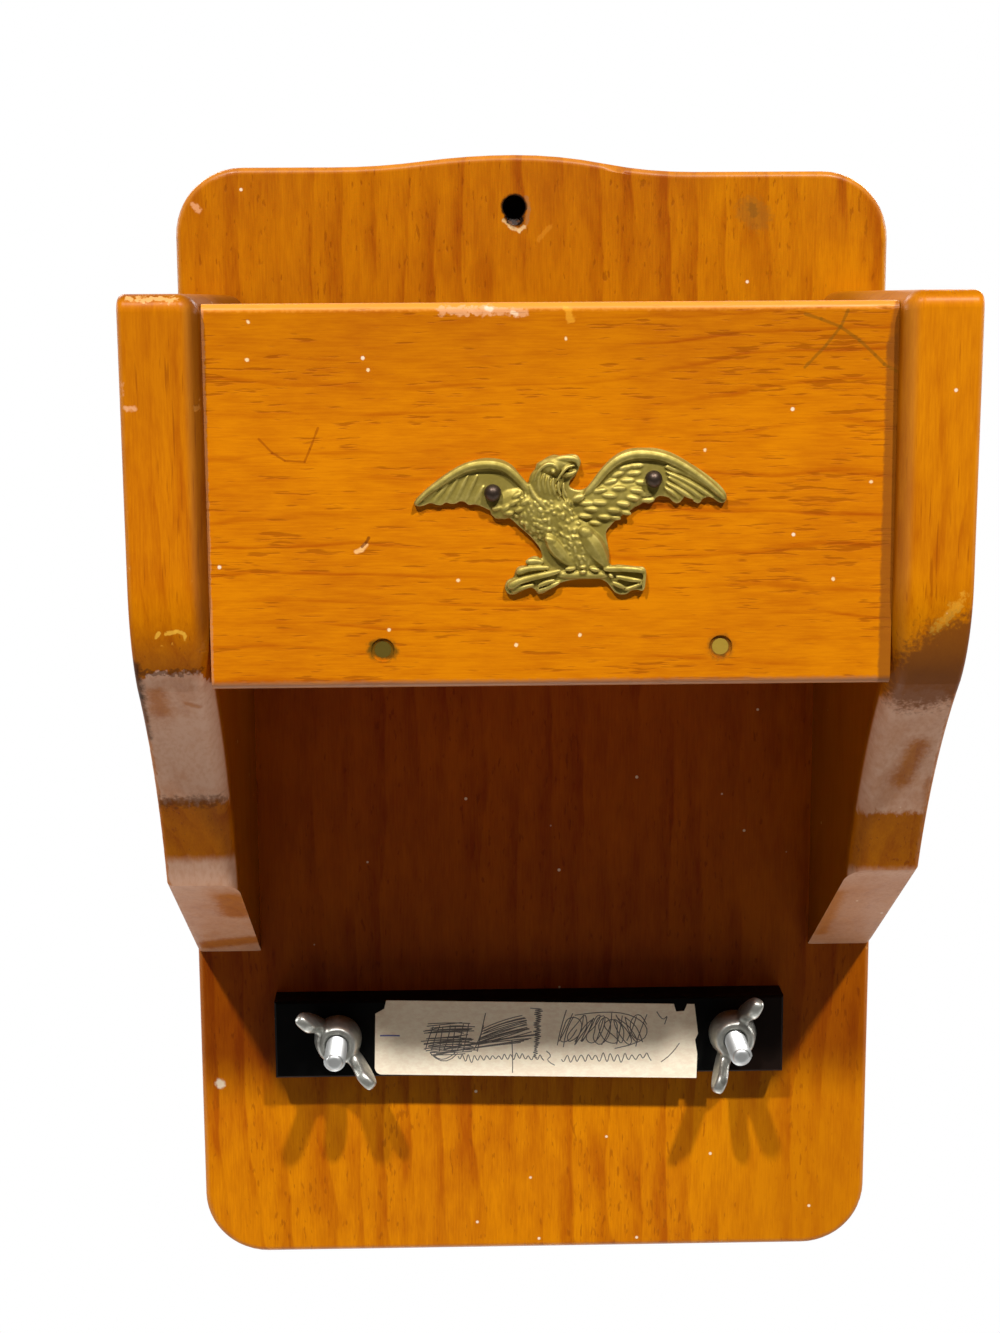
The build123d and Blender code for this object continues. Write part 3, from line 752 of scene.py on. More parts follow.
# %% Curve helpers
def round_curve(half, roundness, fineness):
    """An empty curve with a round section."""
    curve = bpy.data.curves.new("round", "CURVE")
    curve.dimensions = "3D"
    curve.bevel_depth = half
    curve.bevel_resolution = roundness
    curve.resolution_u = fineness
    return curve


def add_line(curve, points):
    """Draws a smooth line. Each point is (x, y, z, radius)."""
    spline = curve.splines.new("NURBS")
    spline.points.add(len(points) - 1)
    for point, (x, y, z, radius) in zip(spline.points, points):
        point.co = (x, y, z, 1)
        point.radius = radius
    spline.order_u = 3
    spline.use_endpoint_u = True


def join_curve(work, curve, move):
    """Adds a curve's shape to a bmesh in the making."""
    holder = bpy.data.objects.new("curve", curve)
    mesh = bpy.data.meshes.new_from_object(holder)
    mesh.transform(move)
    work.from_mesh(mesh)
    bpy.data.objects.remove(holder)
    bpy.data.curves.remove(curve)
    bpy.data.meshes.remove(mesh)


def strip_through(work, points, squash=1.0):
    """A rounded strip. Each point is (x, z, half width, height of the crest above the ground)."""
    for end, inner in ((0, 1), (-1, -2)):
        x, z, half, crest = points[end]
        out = Vector((x - points[inner][0], z - points[inner][1])).normalized() * half * 0.7
        tip = (x + out.x, z + out.y, half * 0.4, crest - half * squash * 0.6)
        points = [tip] + points if end == 0 else points + [tip]
    curve = round_curve(1.0, 2, 6)
    curve.use_fill_caps = True
    add_line(curve, [(x, half - crest / squash, z, half) for x, z, half, crest in points])
    join_curve(work, curve, Matrix.Diagonal((1, squash, 1, 1)))


print("curve helpers ready")

# %% Sculpting helpers
def pebble(work, x, z, crest, halves, turn=0.0, tip=0.0):
    """A squashed sphere. Halves are along the turn, across it and in depth; tip lifts the lower edge."""
    long, wide, deep = halves
    place = (Matrix.Translation((x, deep - crest, z)) @ Matrix.Rotation(math.radians(-turn), 4, "Y")
             @ Matrix.Rotation(math.radians(-tip), 4, "X") @ Matrix.Diagonal((long, deep, wide, 1)))
    bmesh.ops.create_icosphere(work, subdivisions=2, radius=1, matrix=place)


def flat_plate(work, outline, back, front, rounding):
    """A plate with a rounded rim. The outline is in x and z, and the plate lies between two depths."""
    curve = bpy.data.curves.new("plate", "CURVE")
    curve.dimensions = "2D"
    curve.fill_mode = "BOTH"
    curve.extrude = (front - back) / 2 - rounding
    curve.bevel_depth = rounding
    curve.bevel_resolution = 2
    curve.offset = -rounding
    curve.resolution_u = 4
    spline = curve.splines.new("BEZIER")
    spline.bezier_points.add(len(outline) - 1)
    for point, (x, z) in zip(spline.bezier_points, outline):
        point.co = (x, z, 0)
        point.handle_left_type = point.handle_right_type = "AUTO"
    spline.use_cyclic_u = True
    middle = Matrix.Translation((0, -(front + back) / 2, 0))
    join_curve(work, curve, middle @ Matrix.Rotation(math.pi / 2, 4, "X"))


def soften(skin, rounds):
    """Smooths a skin, round after round."""
    for _ in range(rounds):
        bmesh.ops.smooth_vert(skin, verts=skin.verts, factor=0.5, use_axis_x=True, use_axis_y=True,
                              use_axis_z=True)


def take_in(work, other):
    """Adds one bmesh to another."""
    mesh = bpy.data.meshes.new("taken")
    other.to_mesh(mesh)
    other.free()
    work.from_mesh(mesh)
    bpy.data.meshes.remove(mesh)


def fuse(work, voxel, rounds):
    """Joins what overlaps by a voxel remesh and smooths the skin. Returns a new bmesh."""
    holder = placed(work, "raw")
    mesh = holder.data
    remesh = holder.modifiers.new("fuse", "REMESH")
    remesh.mode = "VOXEL"
    remesh.voxel_size = voxel
    fused = bpy.data.meshes.new_from_object(holder.evaluated_get(bpy.context.evaluated_depsgraph_get()))
    skin = bmesh.new()
    skin.from_mesh(fused)
    soften(skin, rounds)
    bpy.data.objects.remove(holder)
    bpy.data.meshes.remove(mesh)
    bpy.data.meshes.remove(fused)
    return skin


def mark_hollows(skin, reach, strength):
    """Stores at each vertex how hollow the skin is there: 0 on crests, 0.5 on flats, 1 in grooves."""
    layer = skin.verts.layers.float.new("hollow")
    skin.normal_update()
    before = [v.co.copy() for v in skin.verts]
    normals = [v.normal.copy() for v in skin.verts]
    soften(skin, reach)
    for vertex, place, normal in zip(skin.verts, before, normals):
        rise = (vertex.co - place).dot(normal)
        vertex[layer] = min(max(0.5 + rise * strength, 0), 1)
        vertex.co = place


def finish_piece(skin, name, place, body, made, replaced=()):
    """Turns a bmesh in millimetres into a piece that rides on a body."""
    bmesh.ops.recalc_face_normals(skin, faces=skin.faces)
    bmesh.ops.transform(skin, matrix=place @ Matrix.Diagonal((mm, mm, mm, 1)), verts=skin.verts)
    piece = placed(skin, name)
    for face in piece.data.polygons:
        face.use_smooth = True
    piece.data.materials.append(made)
    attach(piece, body)
    if replaced:
        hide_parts(*replaced)
    print(name, "faces", len(piece.data.polygons))
    return piece


print("sculpting helpers ready")

# %% [markdown]
# ## Old metals
# Brass that was darkened and then rubbed is dull brown in its grooves and yellow on its crests. The
# sculpted pieces carry a value for how hollow each spot is, and the finish reads it. Fine noise adds
# the grain of the stamping, which breaks up the gloss.

# %% Metal recipe
def old_metal(name, crest, middle, groove, rough=0.38, metallic=0.85, grain=420.0, bump_height=0.00008):
    """A metal that is lighter on its crests than in its grooves."""
    made, tree, shader, place = material(name)
    hollow = add(tree, "Attribute", attribute_name="hollow").outputs["Fac"]
    cloud = noise(tree, place["Object"], grain, 4.0, 0.6)
    wide = noise(tree, place["Object"], grain / 5, 2.0)
    level = plus(tree, hollow, swing(tree, cloud, 0.35), swing(tree, wide, 0.2))
    colour = blend(tree, fade(tree, level, 0.30, 0.55), crest, middle)
    colour = blend(tree, fade(tree, level, 0.55, 0.85), colour, groove)
    roughness = plus(tree, fade(tree, level, 0.3, 0.9, rough, rough + 0.25), times(tree, cloud, 0.1))
    feed(tree, shader, Base_Color=colour, Roughness=roughness, Normal=bumped(tree, cloud, 0.5, bump_height),
         Metallic=metallic)
    return made


antique_brass = old_metal("antique_brass", linear(200, 180, 98), linear(152, 134, 56), linear(78, 61, 20),
                          rough=0.46, metallic=0.62, grain=420.0, bump_height=0.00013)
dark_bronze = old_metal("dark_bronze", linear(120, 100, 84), linear(74, 60, 50), linear(40, 30, 24),
                        rough=0.3, metallic=0.8)
print("metals ready")

# %% [markdown]
# ## The brass eagle
# A stamped ornament: a thin plate cut to the bird's outline, with the relief pressed up from it. The
# outline is drawn first, then the forms in the order that a die cutter thinks of them: the masses of
# chest and thighs, the smooth band along the front of each wing, the long flight feathers, the rows of
# small leaf-shaped coverts, the head, and the feet on their perch. Sizes are in millimetres from the
# ornament's middle.

# %% Eagle: outline and masses
eagle_place = Matrix.Translation((9.9 * mm, panel_face, -78.9 * mm))
plate_front = 1.35
eagle_outline = [
    (-37.5, 4.9), (-37.3, 5.6), (-35.7, 7.4), (-33.3, 9.5), (-30.5, 11.6), (-27.8, 13.3), (-25.4, 14.5),
    (-23.0, 15.2), (-20.9, 15.7), (-18.9, 15.7), (-16.8, 15.4), (-15.1, 14.7), (-13.7, 13.7), (-12.6, 12.3),
    (-11.6, 11.1), (-10.5, 9.8), (-9.8, 10.2), (-9.2, 11.8), (-8.2, 13.3), (-6.9, 14.9), (-5.5, 15.9),
    (-3.8, 16.4), (-2.1, 16.1), (-0.3, 16.5), (1.4, 16.3), (2.2, 15.4), (2.4, 14.4), (2.0, 13.3),
    (1.7, 12.5), (1.2, 11.6), (0.3, 10.7), (-0.3, 9.8), (-0.3, 8.9), (0.5, 8.3), (2.4, 8.0), (3.9, 8.6),
    (5.5, 10.4), (6.9, 12.1), (8.6, 14.4), (10.3, 15.9), (12.3, 17.1), (14.7, 17.8), (17.5, 17.9),
    (20.2, 17.8), (23.0, 17.1), (25.7, 15.9), (28.5, 14.2), (31.2, 12.5), (34.0, 10.4), (36.0, 8.6),
    (37.1, 7.1), (37.4, 6.1), (37.2, 5.2), (36.4, 4.6), (35.3, 4.9), (34.3, 5.6), (33.1, 6.0), (31.9, 5.8),
    (30.7, 4.6), (29.5, 5.0), (28.8, 5.9), (27.4, 6.2), (26.6, 5.3), (25.6, 4.6), (24.5, 5.0), (23.7, 5.8),
    (22.3, 6.3), (20.9, 6.3), (19.9, 5.4), (18.9, 4.6), (17.5, 4.8), (16.1, 4.1), (14.7, 3.4), (13.4, 2.6),
    (12.0, 1.5), (10.6, 0.5), (9.6, -0.6), (8.6, -1.9), (8.5, -3.2), (8.8, -4.7), (9.1, -6.5), (9.3, -8.2),
    (9.5, -10.0), (11.7, -10.1), (14.1, -10.4), (16.1, -10.6), (17.6, -10.8), (18.1, -11.5), (18.2, -13.0),
    (18.0, -14.8), (17.5, -16.4), (16.1, -16.2), (14.7, -16.4), (13.4, -17.2), (12.0, -17.3), (10.6, -16.7),
    (9.6, -15.5), (8.6, -14.3), (7.2, -13.6), (5.1, -13.4), (2.7, -13.5), (0.3, -13.7), (-1.7, -14.1),
    (-3.8, -15.0), (-5.5, -16.2), (-6.9, -16.9), (-7.9, -16.9), (-8.6, -16.0), (-9.3, -15.5),
    (-11.0, -15.9), (-12.7, -16.7), (-14.1, -17.1), (-15.3, -16.7), (-15.8, -15.8), (-15.8, -14.8),
    (-15.1, -13.6), (-13.7, -12.9), (-13.4, -11.7), (-12.8, -10.6), (-11.7, -10.2), (-10.5, -10.0),
    (-10.6, -9.1), (-9.9, -8.3), (-8.2, -7.9), (-7.1, -8.4), (-7.1, -7.0), (-7.5, -5.9), (-8.6, -4.4),
    (-9.8, -3.0), (-11.7, -1.3), (-13.4, 0.3), (-14.8, 1.5), (-16.1, 2.3), (-18.2, 3.0), (-19.6, 3.4),
    (-20.9, 4.0), (-23.0, 4.7), (-24.4, 4.6), (-25.4, 5.3), (-26.4, 5.5), (-27.4, 5.0), (-28.8, 4.9),
    (-29.8, 5.2), (-30.9, 4.6), (-32.2, 4.7), (-33.6, 5.1), (-35.0, 4.6), (-36.7, 4.4)]
eagle = bmesh.new()
flat_plate(eagle, eagle_outline, -0.6, plate_front, 0.25)
chest = (-6.3, 2.4, 3.1, (8.6, 6.2, 2.1), -35)
belly = (1.2, -4.6, 3.0, (8.8, 5.6, 2.0), -52)
shoulder_right = (8.6, 5.4, 2.5, (10.0, 4.6, 1.5), 14)
shoulder_left = (-14.6, 5.0, 2.2, (5.5, 3.4, 1.2), 30)
masses = (chest, belly, shoulder_right, shoulder_left)
for mass in masses:
    pebble(eagle, *mass)
print("outline points", len(eagle_outline))

# %% Eagle: wing bands and flight feathers
right_band = [(3.6, 7.2), (5.8, 9.6), (7.7, 12.1), (9.8, 14.2), (12.3, 15.8), (15.1, 16.5), (17.8, 16.5),
              (20.9, 16.1), (24.0, 15.1), (27.1, 13.4), (30.2, 11.4), (33.3, 9.0), (35.6, 6.9), (36.6, 5.9)]
left_band = [(-37.0, 5.1), (-35.2, 7.0), (-32.6, 9.0), (-29.8, 10.9), (-27.1, 12.6), (-24.6, 13.7),
             (-22.2, 14.2), (-19.9, 14.3), (-17.6, 14.1), (-15.6, 13.4), (-14.0, 12.2), (-12.4, 10.6),
             (-11.0, 9.1), (-10.0, 7.6)]
right_halves = (0.8, 1.05, 1.15, 1.2, 1.25, 1.3, 1.3, 1.25, 1.2, 1.15, 1.05, 0.9, 0.75, 0.6)
left_halves = (0.5, 0.7, 0.9, 1.05, 1.15, 1.25, 1.3, 1.3, 1.3, 1.25, 1.2, 1.1, 0.95, 0.8)
for band, halves in ((right_band, right_halves), (left_band, left_halves)):
    strip_through(eagle, [(x, z, half, 2.1 + half * 0.5) for (x, z), half in zip(band, halves)], 0.9)

feathers = [
    ((22.6, 13.3), (27.8, 11.8), (32.2, 9.2), (35.7, 6.4)),
    ((22.9, 12.1), (27.4, 10.0), (31.2, 7.8), (34.0, 6.0)),
    ((23.3, 10.9), (26.4, 9.2), (29.2, 7.4), (31.2, 5.9)),
    ((23.0, 9.5), (25.7, 7.9), (27.8, 6.6), (29.0, 5.8)), ((22.6, 8.3), (24.4, 7.1), (25.7, 5.9)),
    ((22.8, 13.6), (24.3, 12.9), (25.6, 12.0)), ((-32.2, 8.2), (-33.6, 7.0), (-35.0, 5.4)),
    ((-29.5, 9.6), (-31.0, 7.6), (-32.8, 5.4)), ((-27.1, 10.8), (-28.6, 8.2), (-30.2, 5.6)),
    ((-24.7, 11.5), (-26.2, 8.6), (-27.6, 5.6)), ((-22.4, 11.6), (-23.9, 8.6), (-25.2, 5.6)),
    ((-20.9, 9.0), (-22.0, 7.0), (-23.0, 5.2))]
for feather in feathers:
    crest = 2.0 if feather[0][0] > 0 else 1.72
    root, *shaft, tip = feather
    strip_through(eagle, [(*root, 0.30, crest)] + [(*point, 0.62, crest) for point in shaft]
                  + [(*tip, 0.30, crest - 0.2)], 0.8)
print("feathers", len(feathers))

# %% Eagle: coverts and the mottled breast
leaves = [
    (13.0, 13.3, 12), (15.6, 13.7, 2), (11.3, 11.7, 22), (15.1, 11.9, 5), (9.4, 9.9, 16), (13.5, 10.2, 2),
    (17.0, 9.7, -4), (6.9, 7.9, 10), (11.5, 8.4, 0), (15.7, 7.8, -8), (9.2, 6.7, -4), (14.7, 6.1, -10),
    (6.9, 5.0, -3), (12.4, 4.7, -8), (18.4, 5.5, 0), (4.8, 3.5, -5), (10.2, 3.2, -8), (3.4, 1.8, -5),
    (7.9, 1.6, -8), (5.7, 0.1, -8), (3.6, 4.9, 0), (17.6, 7.0, -6), (12.9, 2.6, -14), (10.4, 1.4, -14),
    (-13.0, 6.9, 30), (-13.7, 5.2, 30), (-15.6, 4.0, 38), (-12.3, 3.6, 24), (-15.0, 2.7, -4),
    (-11.0, 5.4, 34), (-17.6, 3.9, 10)]


def height_on(mass, x, z):
    """How high a mass stands above the panel at a place, or 0 outside it."""
    centre_x, centre_z, crest, (long, wide, deep), turn = mass
    turn = math.radians(turn)
    along = ((x - centre_x) * math.cos(turn) + (z - centre_z) * math.sin(turn)) / long
    across = ((z - centre_z) * math.cos(turn) - (x - centre_x) * math.sin(turn)) / wide
    inside = 1 - along ** 2 - across ** 2
    return crest - deep + deep * math.sqrt(inside) if inside > 0.02 else 0


for x, z, turn in leaves:
    stands = max([plate_front] + [height_on(mass, x, z) for mass in masses])
    long = 1.8 if x > 0 else 1.4
    pebble(eagle, x, z, stands + 0.5, (long, 0.7, 0.55), turn, 22)
pebble(eagle, 1.7, 6.2, 3.3, (1.7, 1.0, 0.8), 20)

random.seed(7)
scales = 0
for row in range(18):
    for column in range(16):
        x = -15.5 + column * 1.25 + (row % 2) * 0.62 + random.uniform(-0.45, 0.45)
        z = 8.6 - row * 1.05 + random.uniform(-0.4, 0.4)
        stands = max(height_on(chest, x, z), height_on(belly, x, z))
        if stands > 1.5 and not (x > 2.2 and z > -1.5) and random.random() < 0.9:
            halves = (random.uniform(0.5, 1.0), random.uniform(0.35, 0.6), 0.4)
            pebble(eagle, x, z, stands + random.uniform(0.08, 0.3), halves, random.uniform(-90, 10),
                   random.uniform(0, 30))
            scales += 1
print("leaves", len(leaves), "scales", scales)

# %% Eagle: head, thighs and feet
for x, z, crest, halves, turn in (
        (-4.1, 13.9, 3.3, (4.7, 2.2, 1.7), 8), (-8.0, 11.0, 2.9, (3.0, 1.9, 1.4), 62),
        (-6.3, 8.6, 3.2, (4.6, 3.3, 1.6), -62), (-4.3, 12.6, 3.7, (0.6, 0.5, 0.5), 0),
        (-5.0, -3.8, 3.95, (1.6, 0.9, 0.8), -22), (3.5, -2.1, 3.9, (1.9, 1.5, 1.2), -30),
        (-0.2, -10.8, 3.0, (1.5, 0.6, 0.6), 6), (2.8, -10.4, 2.9, (0.9, 0.4, 0.5), 0),
        (2.9, -11.6, 2.9, (0.9, 0.5, 0.5), 0), (5.7, -11.0, 3.0, (1.4, 0.6, 0.6), -12),
        (9.6, -12.6, 2.8, (0.8, 0.5, 0.5), -40)):
    pebble(eagle, x, z, crest, halves, turn)

lines = [
    [(-3.6, 15.3, 0.9, 3.0), (-1.5, 15.7, 0.9, 3.1), (0.6, 15.6, 0.85, 3.0), (1.6, 15.0, 0.7, 2.8),
     (1.8, 13.9, 0.45, 2.4)],
    [(-1.6, 11.6, 0.75, 2.6), (0.1, 11.9, 0.6, 2.5), (1.2, 12.6, 0.35, 2.2)],
    [(-3.3, 10.6, 0.3, 3.3), (-2.2, 12.3, 0.38, 3.5), (-1.0, 13.7, 0.38, 3.4), (0.8, 14.0, 0.3, 2.9)],
    [(-8.7, 10.6, 0.3, 3.0), (-8.0, 12.5, 0.42, 3.3), (-6.6, 14.0, 0.45, 3.5), (-5.0, 14.6, 0.42, 3.6),
     (-3.6, 13.9, 0.4, 3.6), (-3.2, 13.2, 0.3, 3.4)],
    [(-7.3, 12.3, 0.3, 3.2), (-8.0, 9.9, 0.42, 3.3), (-7.4, 8.0, 0.3, 3.2)],
    [(-6.3, 12.2, 0.3, 3.4), (-6.9, 10.0, 0.42, 3.5), (-6.2, 7.6, 0.3, 3.3)],
    [(-5.3, 11.6, 0.3, 3.4), (-5.7, 9.6, 0.42, 3.5), (-5.0, 7.4, 0.3, 3.3)],
    [(-4.2, 11.0, 0.3, 3.3), (-4.5, 9.2, 0.42, 3.4), (-3.8, 7.2, 0.3, 3.2)],
    [(-3.0, 10.2, 0.3, 3.1), (-3.2, 8.6, 0.42, 3.2), (-2.4, 6.8, 0.3, 3.1)],
    [(-1.8, 9.8, 0.3, 2.7), (-1.9, 8.2, 0.42, 2.9), (-1.0, 6.6, 0.3, 2.9)],
    [(-9.9, 9.4, 0.4, 2.5), (-9.2, 7.4, 0.5, 2.9), (-7.4, 5.2, 0.5, 3.2), (-5.4, 3.2, 0.35, 3.2)],
    [(-5.3, -3.3, 1.4, 3.7), (-3.7, -5.7, 2.0, 3.9), (-1.8, -7.9, 1.6, 3.5), (0.2, -9.8, 0.8, 2.9)],
    [(3.3, -2.4, 2.0, 3.8), (5.0, -4.9, 2.9, 3.95), (6.8, -7.5, 2.3, 3.6), (8.3, -9.8, 1.1, 3.0)],
    [(-10.3, -9.1, 0.9, 2.6), (-8.7, -8.9, 0.75, 2.6), (-7.0, -9.2, 0.6, 2.4)],
    [(-12.5, -11.5, 1.0, 2.8), (-11.2, -10.9, 0.85, 2.8), (-8.9, -10.6, 0.75, 2.8),
     (-5.6, -10.5, 0.6, 2.7)],
    [(-14.5, -14.9, 1.2, 3.0), (-12.6, -13.7, 0.9, 2.9), (-9.3, -12.8, 0.85, 3.0), (-5.8, -12.1, 0.8, 3.0),
     (-2.8, -11.3, 0.6, 2.8)],
    [(-13.8, -16.1, 0.7, 2.1), (-11.4, -15.2, 0.6, 2.2), (-9.2, -14.7, 0.5, 2.2)],
    [(-7.9, -14.9, 0.4, 2.5), (-6.2, -14.2, 0.7, 2.8), (-4.1, -13.5, 0.4, 2.6)],
    [(-7.6, -16.1, 0.6, 2.1), (-5.4, -15.4, 0.6, 2.2), (-3.0, -14.2, 0.5, 2.2)],
    [(-2.4, -12.3, 1.0, 2.2), (2.7, -12.4, 1.1, 2.2), (8.2, -12.5, 1.0, 2.2)],
    [(8.3, -10.9, 0.8, 3.0), (12.3, -10.9, 0.8, 3.0), (16.1, -11.2, 0.75, 2.9), (17.4, -11.6, 0.6, 2.7)],
    [(11.1, -12.8, 0.55, 2.9), (14.1, -13.5, 0.7, 2.9), (16.6, -13.8, 0.5, 2.7)],
    [(10.1, -14.2, 0.45, 2.6), (11.4, -14.9, 0.7, 2.8), (12.7, -15.4, 0.45, 2.5)],
    [(13.3, -15.9, 0.5, 2.2), (15.6, -15.2, 0.5, 2.3), (17.0, -14.5, 0.4, 2.2)],
    [(17.6, -11.6, 0.42, 2.5), (17.7, -13.4, 0.42, 2.5), (17.4, -15.8, 0.42, 2.3)]]
for line in lines:
    strip_through(eagle, line, 0.85)

skin = fuse(eagle, 0.2, 2)
cut = bmesh.ops.bisect_plane(skin, geom=skin.verts[:] + skin.edges[:] + skin.faces[:], plane_co=(0, 0, 0),
                             plane_no=(0, 1, 0), clear_outer=True)
bmesh.ops.holes_fill(skin, edges=of_kind(bmesh.types.BMEdge, cut["geom_cut"]), sides=0)
mark_hollows(skin, 6, 2.2)
finish_piece(skin, "brass_eagle", eagle_place, "rack", antique_brass, ["eagle_ornament"])

# %% [markdown]
# ## The pins
# Two round-headed pins hold the ornament. A spun profile makes such a turned piece: half of its
# outline is drawn beside the axis and swept once round it.

# %% Pins
def turned(profile, steps=32):
    """Spins a half outline of (radius, height) about the Y axis, with height towards the front."""
    work = bmesh.new()
    corners = [work.verts.new((radius, -height, 0)) for radius, height in profile]
    edges = [work.edges.new(pair) for pair in zip(corners, corners[1:])]
    bmesh.ops.spin(work, geom=corners + edges, cent=(0, 0, 0), axis=(0, 1, 0), angle=2 * math.pi,
                   steps=steps, use_merge=True, use_duplicate=False)
    bmesh.ops.remove_doubles(work, verts=work.verts, dist=0.0005)
    return work


dome_height = 2.1
for side in ("left", "right"):
    low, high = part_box("eagle_pin_" + side)
    middle = (low + high) / 2
    head = (high.x - low.x) / 2 / mm
    top = (panel_face - low.y) / mm
    dome = [(head * math.cos(angle), top - dome_height + dome_height * math.sin(angle))
            for angle in (math.radians(degrees) for degrees in range(0, 90, 9))]
    shank = [(0, -11), (0.5, -10), (0.7, -9), (0.7, 1.2), (head * 0.8, 1.25), (head * 0.97, 1.7)]
    pin = turned(shank + dome + [(0, top)])
    mark_hollows(pin, 2, 0.5)
    finish_piece(pin, "pin_" + side, Matrix.Translation((middle.x, panel_face, middle.z)), "rack",
                 dark_bronze, ["eagle_pin_" + side])

# %% [markdown]
# ## The wing nuts
# These are forged: a tapered boss from which two thick ears sweep up and outwards. A hard-edged model
# never looks forged, so the boss is spun, the ears are rounded plates, and fusing them gives the soft
# fillets between. The bore stays open because the boss is spun as a ring.

# %% Wing nuts
cast_zinc = old_metal("cast_zinc", linear(222, 222, 214), linear(172, 172, 164), linear(104, 102, 96),
                      rough=0.30, metallic=0.85, grain=500.0)
bolt_zinc = old_metal("bolt_zinc", linear(196, 198, 196), linear(164, 164, 160), linear(110, 108, 104),
                      rough=0.42, metallic=0.85, grain=600.0, bump_height=0.00005)


def wing_nut():
    """A wing nut in millimetres, its seat at height 0 and its ears along X."""
    work = turned([(3.3, 0), (6.6, 0), (7.15, 0.5), (7.1, 2.0), (6.5, 5.0), (5.9, 7.6), (5.2, 8.5),
                   (3.9, 8.55), (3.3, 7.9), (3.3, 0)], 48)
    ear = [(4.2, 0.6), (8.2, 1.4), (11.4, 4.4), (14.2, 8.6), (15.5, 12.2), (14.9, 14.6), (12.8, 15.1),
           (10.2, 14.2), (8.6, 11.6), (7.0, 8.9), (5.6, 8.2), (4.2, 8.0)]
    for half_turn in (0, math.pi):
        plate = bmesh.new()
        flat_plate(plate, ear, -1.75, 1.75, 1.1)
        for turned_by in (Matrix.Rotation(math.pi / 2, 3, "X"), Matrix.Rotation(half_turn, 3, "Y")):
            bmesh.ops.rotate(plate, verts=plate.verts, cent=(0, 0, 0), matrix=turned_by)
        take_in(work, plate)
    return work


for side, turn in (("left", -45), ("right", 66)):
    low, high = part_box("clamp_bolt_" + side)
    axis_x, axis_z = (low.x + high.x) / 2, (low.z + high.z) / 2
    nut = fuse(wing_nut(), 0.28, 6)
    mark_hollows(nut, 8, 0.5)
    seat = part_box("wing_nut_" + side)[1].y
    place = Matrix.Translation((axis_x, seat, axis_z)) @ Matrix.Rotation(math.radians(-turn), 4, "Y")
    finish_piece(nut, "forged_nut_" + side, place, side + "_nut", cast_zinc,
                 ["wing_nut_" + side])

# %% [markdown]
# ## The bolts
# Each nut needs a real thread. A thread is a small three-sided ridge wound round a rod. The spin
# operator winds it when every step also moves a little along the axis, so that one full turn climbs
# by the pitch of 1.27 millimetres.

# %% Bolts
bolt_length = 50.8
thread_pitch = 1.27
thread_turns = 24
steps_a_turn = 24
for side in ("left", "right"):
    low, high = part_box("clamp_bolt_" + side)
    bolt = turned([(0, 0), (2.2, 0), (2.4, 0.3), (6.0, 0.3), (6.3, 0.0), (6.36, 0.6), (3.175, 3.8),
                   (3.175, 18.2), (2.62, 18.8), (2.62, bolt_length - 1.6), (2.4, bolt_length - 0.6),
                   (1.9, bolt_length - 0.12), (1.2, bolt_length), (0, bolt_length)], 64)
    ridge = bmesh.new()
    corners = [ridge.verts.new((radius, -height, 0))
               for radius, height in ((2.5, 18.9), (3.17, 19.4), (3.17, 19.55), (2.5, 20.05))]
    face = ridge.faces.new(corners)
    bmesh.ops.spin(ridge, geom=[face] + face.edges[:] + corners, cent=(0, 0, 0), axis=(0, 1, 0),
                   angle=2 * math.pi * thread_turns, dvec=(0, -thread_pitch / steps_a_turn, 0),
                   steps=thread_turns * steps_a_turn, use_merge=False, use_duplicate=False)
    take_in(bolt, ridge)
    place = Matrix.Translation(((low.x + high.x) / 2, 0, (low.z + high.z) / 2))
    piece = finish_piece(bolt, "threaded_bolt_" + side, place, "rack", bolt_zinc,
                         ["clamp_bolt_" + side])
    piece.data.set_sharp_from_angle(angle=math.radians(38))

# %% [markdown]
# ## Nails and screws
# The nail heads and the sunk screws keep their CAD shapes. Brass nails have gone olive, the ones on the
# left darker still, and the steel screws are dull.

# %% Small fasteners
nail_brass = old_metal("nail_brass", linear(206, 168, 60), linear(168, 132, 36), linear(110, 84, 24),
                       rough=0.42, metallic=0.6, grain=700.0)
dull_steel = old_metal("dull_steel", linear(190, 188, 182), linear(150, 148, 142), linear(96, 94, 90),
                       rough=0.42, metallic=0.85, grain=700.0)
tree = nail_brass.node_tree
metal = tree.nodes["Principled BSDF"]
clean = metal.inputs["Base Color"].links[0].from_socket
across = parts(tree, tree.nodes["Texture Coordinate"].outputs["Object"])["X"]
# The nails on the left are darker.
left_darkening = fade(tree, across, 0.0, 0.01, 0.85, 0.0)
tree.links.new(blend(tree, left_darkening, clean, linear(92, 78, 22)), metal.inputs["Base Color"])
for name in ("front_nails", "side_nails_left", "side_nails_right"):
    dress(name, nail_brass)
for name in ("bracket_screws_left", "bracket_screws_right", "floor_screws"):
    dress(name, dull_steel)
print("fasteners dressed")

# %% [markdown]
# ## The bar and its label
# The bar is painted black and slightly dusty. The label is a torn strip of paper that is browner at
# its top, where it lies in the pocket's shadow. Its pencil marks are only a scribble: fine curves that
# lie on the paper and ride with the bar.

# %% Bar and label finishes
black_paint, tree, shader, place = material("black_paint")
cloud = noise(tree, place["Object"], 90.0, 4.0, 0.6)
dots = use(tree, specks, Vector=place["Object"], Spacing=0.0062, Size=0.0003)
colour = blend(tree, fade(tree, cloud, 0.3, 0.8), linear(3, 3, 3), linear(9, 8, 7))
